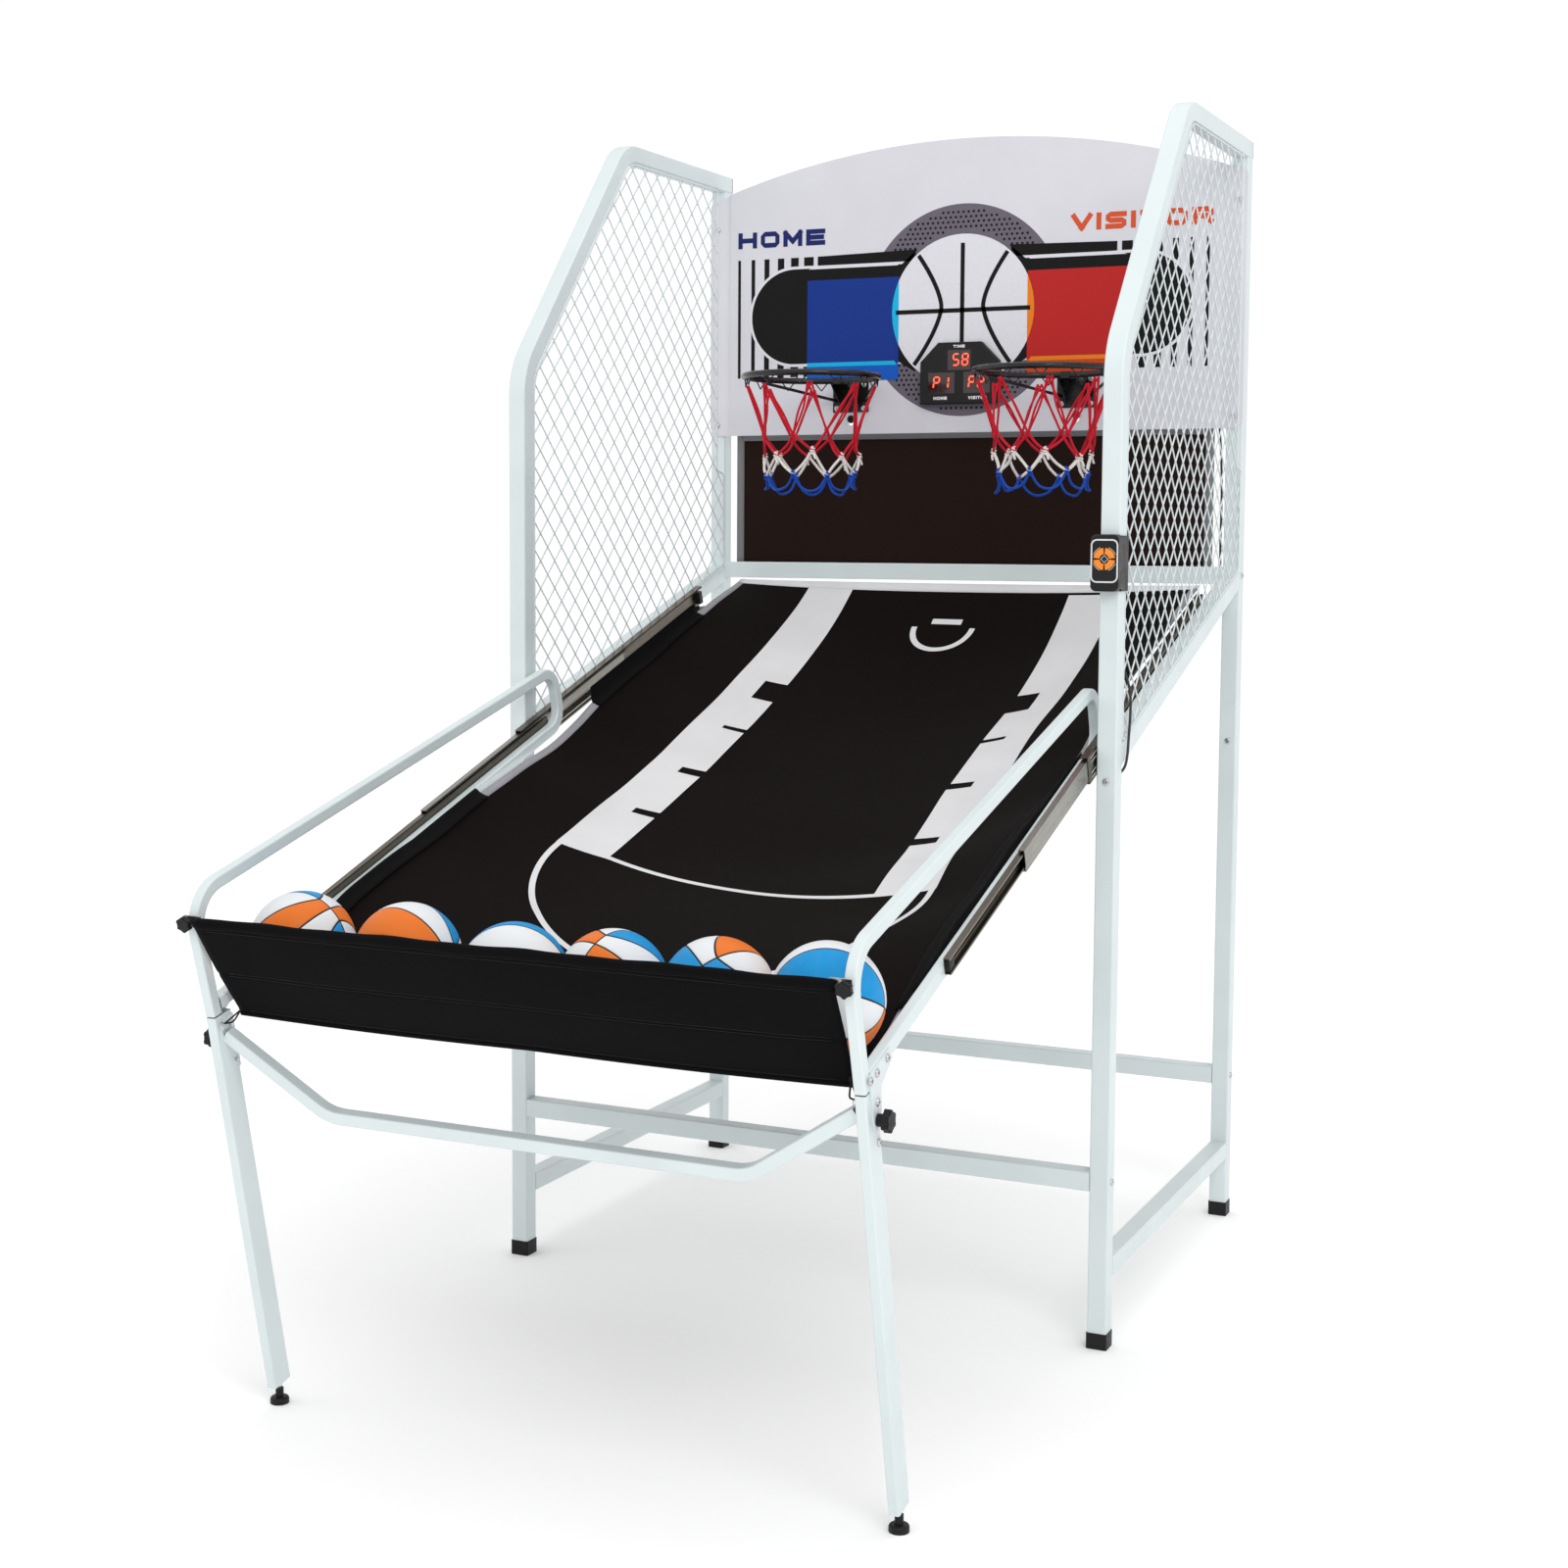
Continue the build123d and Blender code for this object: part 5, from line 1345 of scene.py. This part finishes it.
def net_ties():
    """A loop of elastic from each lower corner of the front net, and a wire hook in the leg."""
    low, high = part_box("net_ties")
    for side, sign in SIDES.items():
        outer = sign * (high.x - 0.0015)
        inner = sign * (high.x - 0.018)
        top = Vector((inner, high.y - 0.001, high.z - 0.002))
        foot = Vector((outer, low.y + 0.0016, low.z + 0.0016))
        loops = []
        for way in (-1, 1):
            mid = top.lerp(foot, 0.5) + Vector((way * 0.0035, way * 0.002, -0.004))
            loops.append(tube(smooth_path([top, mid, foot.lerp(top, 0.22)], 8), 0.0013, 7))
        knot = [top + Vector((0.002 * cos(t * 1.3), 0.002 * sin(t * 1.3), t * 0.0006)) for t in range(12)]
        loops.append(tube(knot, 0.0012, 6))
        look = LOOKS["elastic"]
        new_piece(f"net_tie_elastic_{side}", mesh_of(*loops), look, "front_frame")
        hook = []
        for k in range(15):
            t = radians(-30 + 240 * k / 14)
            hook.append(foot.lerp(top, 0.10) + Vector((0, 0.0042 * cos(t), 0.0042 * sin(t))))
        hook.append(foot + Vector((sign * 0.0006, 0, 0)))
        wire = mesh_of(tube(smooth_path(hook, 3), 0.0008, 7))
        new_piece(f"net_tie_hook_{side}", wire, HOOK_LOOK, "front_frame")
    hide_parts("net_ties")


# ---- rear net
REAR_LOOK = woven("rear_net_look", (0.022, 0.0115, 0.0098), 0.0021, UPRIGHT, 0.03, 0.6)
REAR_HEM_LOOK = woven("rear_net_hem_look", (0.23, 0.23, 0.24), 0.0022, UPRIGHT, 0.3, 0.35)


def rear_net():
    """The dark cloth under the board, bound in grey along its top and sides."""
    low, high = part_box("rear_net")
    columns, tall = 85, 24
    y = (low.y + high.y) / 2

    def at(x, z, off=0.0):
        u = x / high.x
        v = (z - low.z) / (high.z - low.z)
        wave = 0.0016 * sin(x * 14 + v * 2) * sin(pi * v) + 0.0008 * sin(x * 37)
        return Vector((x, y + wave * (1 - u**4) - off, z))

    rows = []
    for r in range(tall + 1):
        z = low.z + (high.z - low.z) * r / tall
        rows.append([at(low.x + (high.x - low.x) * c / (columns - 1), z) for c in range(columns)])
    sheet = new_piece("rear_net_sheet", mesh_of(thick_grid(rows, 0.001)), REAR_LOOK, "cage")
    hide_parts("rear_net")
    hem = 0.016
    bands = []
    strips = [
        (low.x, high.x, high.z - hem, high.z),
        (low.x, low.x + hem, low.z, high.z),
        (high.x - hem, high.x, low.z, high.z),
    ]
    for x0, x1, z0, z1 in strips:
        nx = max(2, int((x1 - x0) / 0.012))
        nz = max(2, int((z1 - z0) / 0.012))
        grid = []
        for r in range(nz + 1):
            z = z0 + (z1 - z0) * r / nz
            grid.append([at(x0 + (x1 - x0) * c / nx, z, 0.0012) for c in range(nx + 1)])
        bands.append(thick_grid(grid, 0.0008))
    band = new_piece("rear_net_binding", mesh_of(*bands), REAR_HEM_LOOK, "cage")


# ---- balls
BALL_RADIUS = (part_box("ball_1")[1].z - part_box("ball_1")[0].z) / 2
# Each ball's inner and outer panel colours, and how it has rolled, in degrees.
BALLS = (
    (ORANGE_PANEL, BLUE_PANEL, (96, 42, 6)),
    (ORANGE_PANEL, BLUE_PANEL, (-10, -18, 82)),
    (BLUE_PANEL, ORANGE_PANEL, (-168, -10, 109)),
    (ORANGE_PANEL, BLUE_PANEL, (81, 33, -110)),
    (BLUE_PANEL, ORANGE_PANEL, (-49, -32, 38)),
    (ORANGE_PANEL, BLUE_PANEL, (-11, -21, -62)),
)


def ball_mesh():
    """A fine sphere whose surface sinks along the seams."""
    made = bmesh.new()
    bmesh.ops.create_icosphere(made, subdivisions=6, radius=BALL_RADIUS)
    for v in made.verts:
        x, z = abs(v.co.x) / BALL_RADIUS, abs(v.co.z) / BALL_RADIUS
        near = min(x, z, abs(x - SEAM_WAIST - SEAM_FLARE * z**1.4))
        sink = 0.0007 * max(0.0, 1 - near / 0.04)
        v.co = v.co * (1 - sink / BALL_RADIUS)
    return finished(made, "ball_shell")


def balls():
    """A pebbled ball over each plain one, rolled its own way."""
    for number, (inner_tone, outer_tone, turn) in enumerate(BALLS, 1):
        node = f"ball_{number}"
        low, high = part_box(node)
        mesh = ball_mesh()
        look = ball_rubber(f"ball_look_{number}", inner_tone, outer_tone)
        piece = new_piece(f"game_ball_{number}", mesh, look, None)
        piece.rotation_euler = Euler([radians(t) for t in turn])
        piece.location = (low + high) / 2
        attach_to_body(piece, BODY_OF[node])
        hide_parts(node)


# ---- keypad details
def keypad_print():
    """The label on the keypad's face: a pale rim, thin arcs, and a diamond between the buttons."""
    low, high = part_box("keypad_housing")
    x = (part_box("keypad_button_left")[0].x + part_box("keypad_button_right")[1].x) / 2
    z = (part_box("keypad_button_up")[1].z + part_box("keypad_button_down")[0].z) / 2
    silver = print_ink_and_shade("keypad_rim_look", (0.66, 0.67, 0.69))
    ground = print_ink_and_shade("keypad_ground_look", (0.026, 0.028, 0.033))

    def label(name, outlines, look, layer):
        printed(name, outlines, lambda a, b: Vector((a, low.y - 0.0002 * layer, b)), look)

    middle_z = (low.z + high.z) / 2 + 0.003
    label("keypad_rim", rounded_frame(x, middle_z, 0.0207, 0.0325, 0.0085, 0.0024), silver, 1)
    arcs = []
    for middle in (45, 135, 225, 315):
        arcs += ribbon(arc(x, z, 0.0187, middle - 24, middle + 24, 12), 0.0007)
    label("keypad_arcs", arcs, silver, 1)

    def diamond(half):
        return [[(x, z - half), (x + half, z), (x, z + half), (x - half, z)]]

    label("keypad_diamond", diamond(0.0062), silver, 1)
    label("keypad_diamond_ground", diamond(0.0050), ground, 2)


def rounded_frame(cx, cz, half_x, half_z, corner, width):
    """Quads of a thin rounded frame."""
    reach_x, reach_z = half_x - corner, half_z - corner

    def outline(grow):
        points = []
        for sx, sz, start in ((1, 1, 0), (-1, 1, 90), (-1, -1, 180), (1, -1, 270)):
            points += arc(cx + sx * reach_x, cz + sz * reach_z, corner + grow, start, start + 90, 8)
        return points

    inside, outside = outline(-width / 2), outline(width / 2)
    count = len(inside)
    return [[inside[k], outside[k], outside[(k + 1) % count], inside[(k + 1) % count]] for k in range(count)]


# ---- drawer slide details
WEB_INSET = 0.0025  # the fixed member's web inside the faces of its mounting straps
MEMBER_HALF = 0.012  # half the height of the inner member
LATCH_SIZE = (0.0072, 0.018, 0.0195)
RACE_X = 0.5068
RACE_PLACES = (0.022, 0.2, 0.45, 0.70)  # along the slope from the inner member's foot
RIB_PLACES = (-0.355, -0.12, 0.12, 0.355)  # and from the middle of the fixed member
RIB_RISES = (-0.0165, -0.0085, 0.0085, 0.0165)
# Middle and length of each slot, from the middle of the fixed member.
SLOTS = ((-0.335, 0.012), (-0.315, 0.006), (-0.20, 0.014), (0.0, 0.014), (0.325, 0.012))
# The slots are not cut: each is a dark shape painted on the web, painted shade for the dark seen through it.
SLOT_SHADE_LOOK = print_ink_and_shade("slide_slot_shade_look", (0.012, 0.011, 0.010))


def on_slope(origin, along, rise):
    """Y and Z of a point along the slope and square to it, from an origin in Y and Z."""
    y = origin.y + along * cos(SLOPE) - rise * sin(SLOPE)
    z = origin.z + along * sin(SLOPE) + rise * cos(SLOPE)
    return y, z


def slot_outline(along, long, wide):
    """A round-ended slot along the slide."""
    half = wide / 2
    reach = (long - wide) / 2
    return arc(along + reach, 0, half, -90, 90, 8) + arc(along - reach, 0, half, 90, 270, 8)


def slope_tube(x, origin, rise, places, radius):
    """A thin bead along the slope at one X."""
    return tube([(x, *on_slope(origin, along, rise)) for along in places], radius, 8)


def bevelled_block(size, width):
    """A small moulded block with rounded edges."""
    made = bmesh.new()
    bmesh.ops.create_cube(made, size=1.0)
    bmesh.ops.scale(made, vec=size, verts=made.verts)
    bmesh.ops.bevel(made, geom=made.edges[:], offset=width, segments=3, profile=0.5, affect="EDGES")
    return finished(made, "block")


def slide_details():
    """Pressed ribs on the fixed members with their slots as painted shade, and the latches and races of the
    inner members.
    """
    zinc, steel = LOOKS["slide_zinc"], LOOKS["slide_steel"]
    inner_low, inner_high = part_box("slide_inners")
    foot = Vector((0, inner_low.y + MEMBER_HALF * sin(SLOPE), inner_low.z + MEMBER_HALF * cos(SLOPE)))
    for side, sign in SIDES.items():
        low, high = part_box(f"slide_outer_{side}")
        middle = (low + high) / 2
        web = sign * (max(abs(low.x), abs(high.x)) - WEB_INSET)
        ribs = [slope_tube(web, middle, rise, RIB_PLACES, 0.0009) for rise in RIB_RISES]
        new_piece(f"slide_ribs_{side}", mesh_of(*ribs), zinc, "cage")

        def on_web(a, b):
            return Vector((web + sign * 0.0003, *on_slope(middle, a, b)))

        # Painted shade: one dark round-ended shape at each slot's place on the web.
        slots = [slot_outline(along, long, 0.005) for along, long in SLOTS]
        printed(f"slide_slot_shade_{side}", slots, on_web, SLOT_SHADE_LOOK)
        latch = bevelled_block(LATCH_SIZE, 0.0018)
        latch.transform(Matrix.Rotation(SLOPE, 4, "X"))
        latch.transform(Matrix.Translation((sign * (inner_high.x - 0.0048), *on_slope(foot, 0.0095, 0.0))))
        new_piece(f"slide_latch_{side}", latch, LOOKS["black_plastic"], "front_frame")
        races = [slope_tube(sign * RACE_X, foot, rise, RACE_PLACES, 0.0011) for rise in (-0.0062, 0.0062)]
        new_piece(f"slide_races_{side}", mesh_of(*races), steel, "front_frame")


# ---- grommets in the board
GROMMET_RADIUS = 0.0065
GROMMET_DROP = 0.078  # below the middle of the rings


def board_grommets():
    """Rubber grommets where the ring switches' wires go through the board, each with painted shade in its
    bore.
    """
    for side in SIDES:
        low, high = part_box(f"hoop_{side}")
        x = (low.x + high.x) / 2
        z = high.z - GROMMET_DROP
        turns = [2 * pi * k / 28 for k in range(28)]
        y = BOARD_FACE - 0.0006
        ring = [(x + GROMMET_RADIUS * cos(t), y, z + GROMMET_RADIUS * sin(t)) for t in turns]
        rim = mesh_of(tube(ring, 0.0017, 8, closed=True))
        new_piece(f"grommet_rim_{side}", rim, LOOKS["cable_rubber"], "cage")
        # Painted shade: a dark disc on the board's face inside each rim, for the shaded inside of the hole.
        ink(f"grommet_bore_{side}", [arc(x, z, GROMMET_RADIUS, 0, 350, 24)], (0.006, 0.006, 0.006), 2)


# ---- assembly
dress_cad_nodes()
camera()
studio()
keypad_cable()
board_print()
board_words()
scoreboard_display()
for hoop_side in SIDES:
    hoop_net(hoop_side)
ramp_cloth()
cloth_sleeves()
front_net()
net_ties()
rear_net()
balls()
keypad_print()
slide_details()
board_grommets()
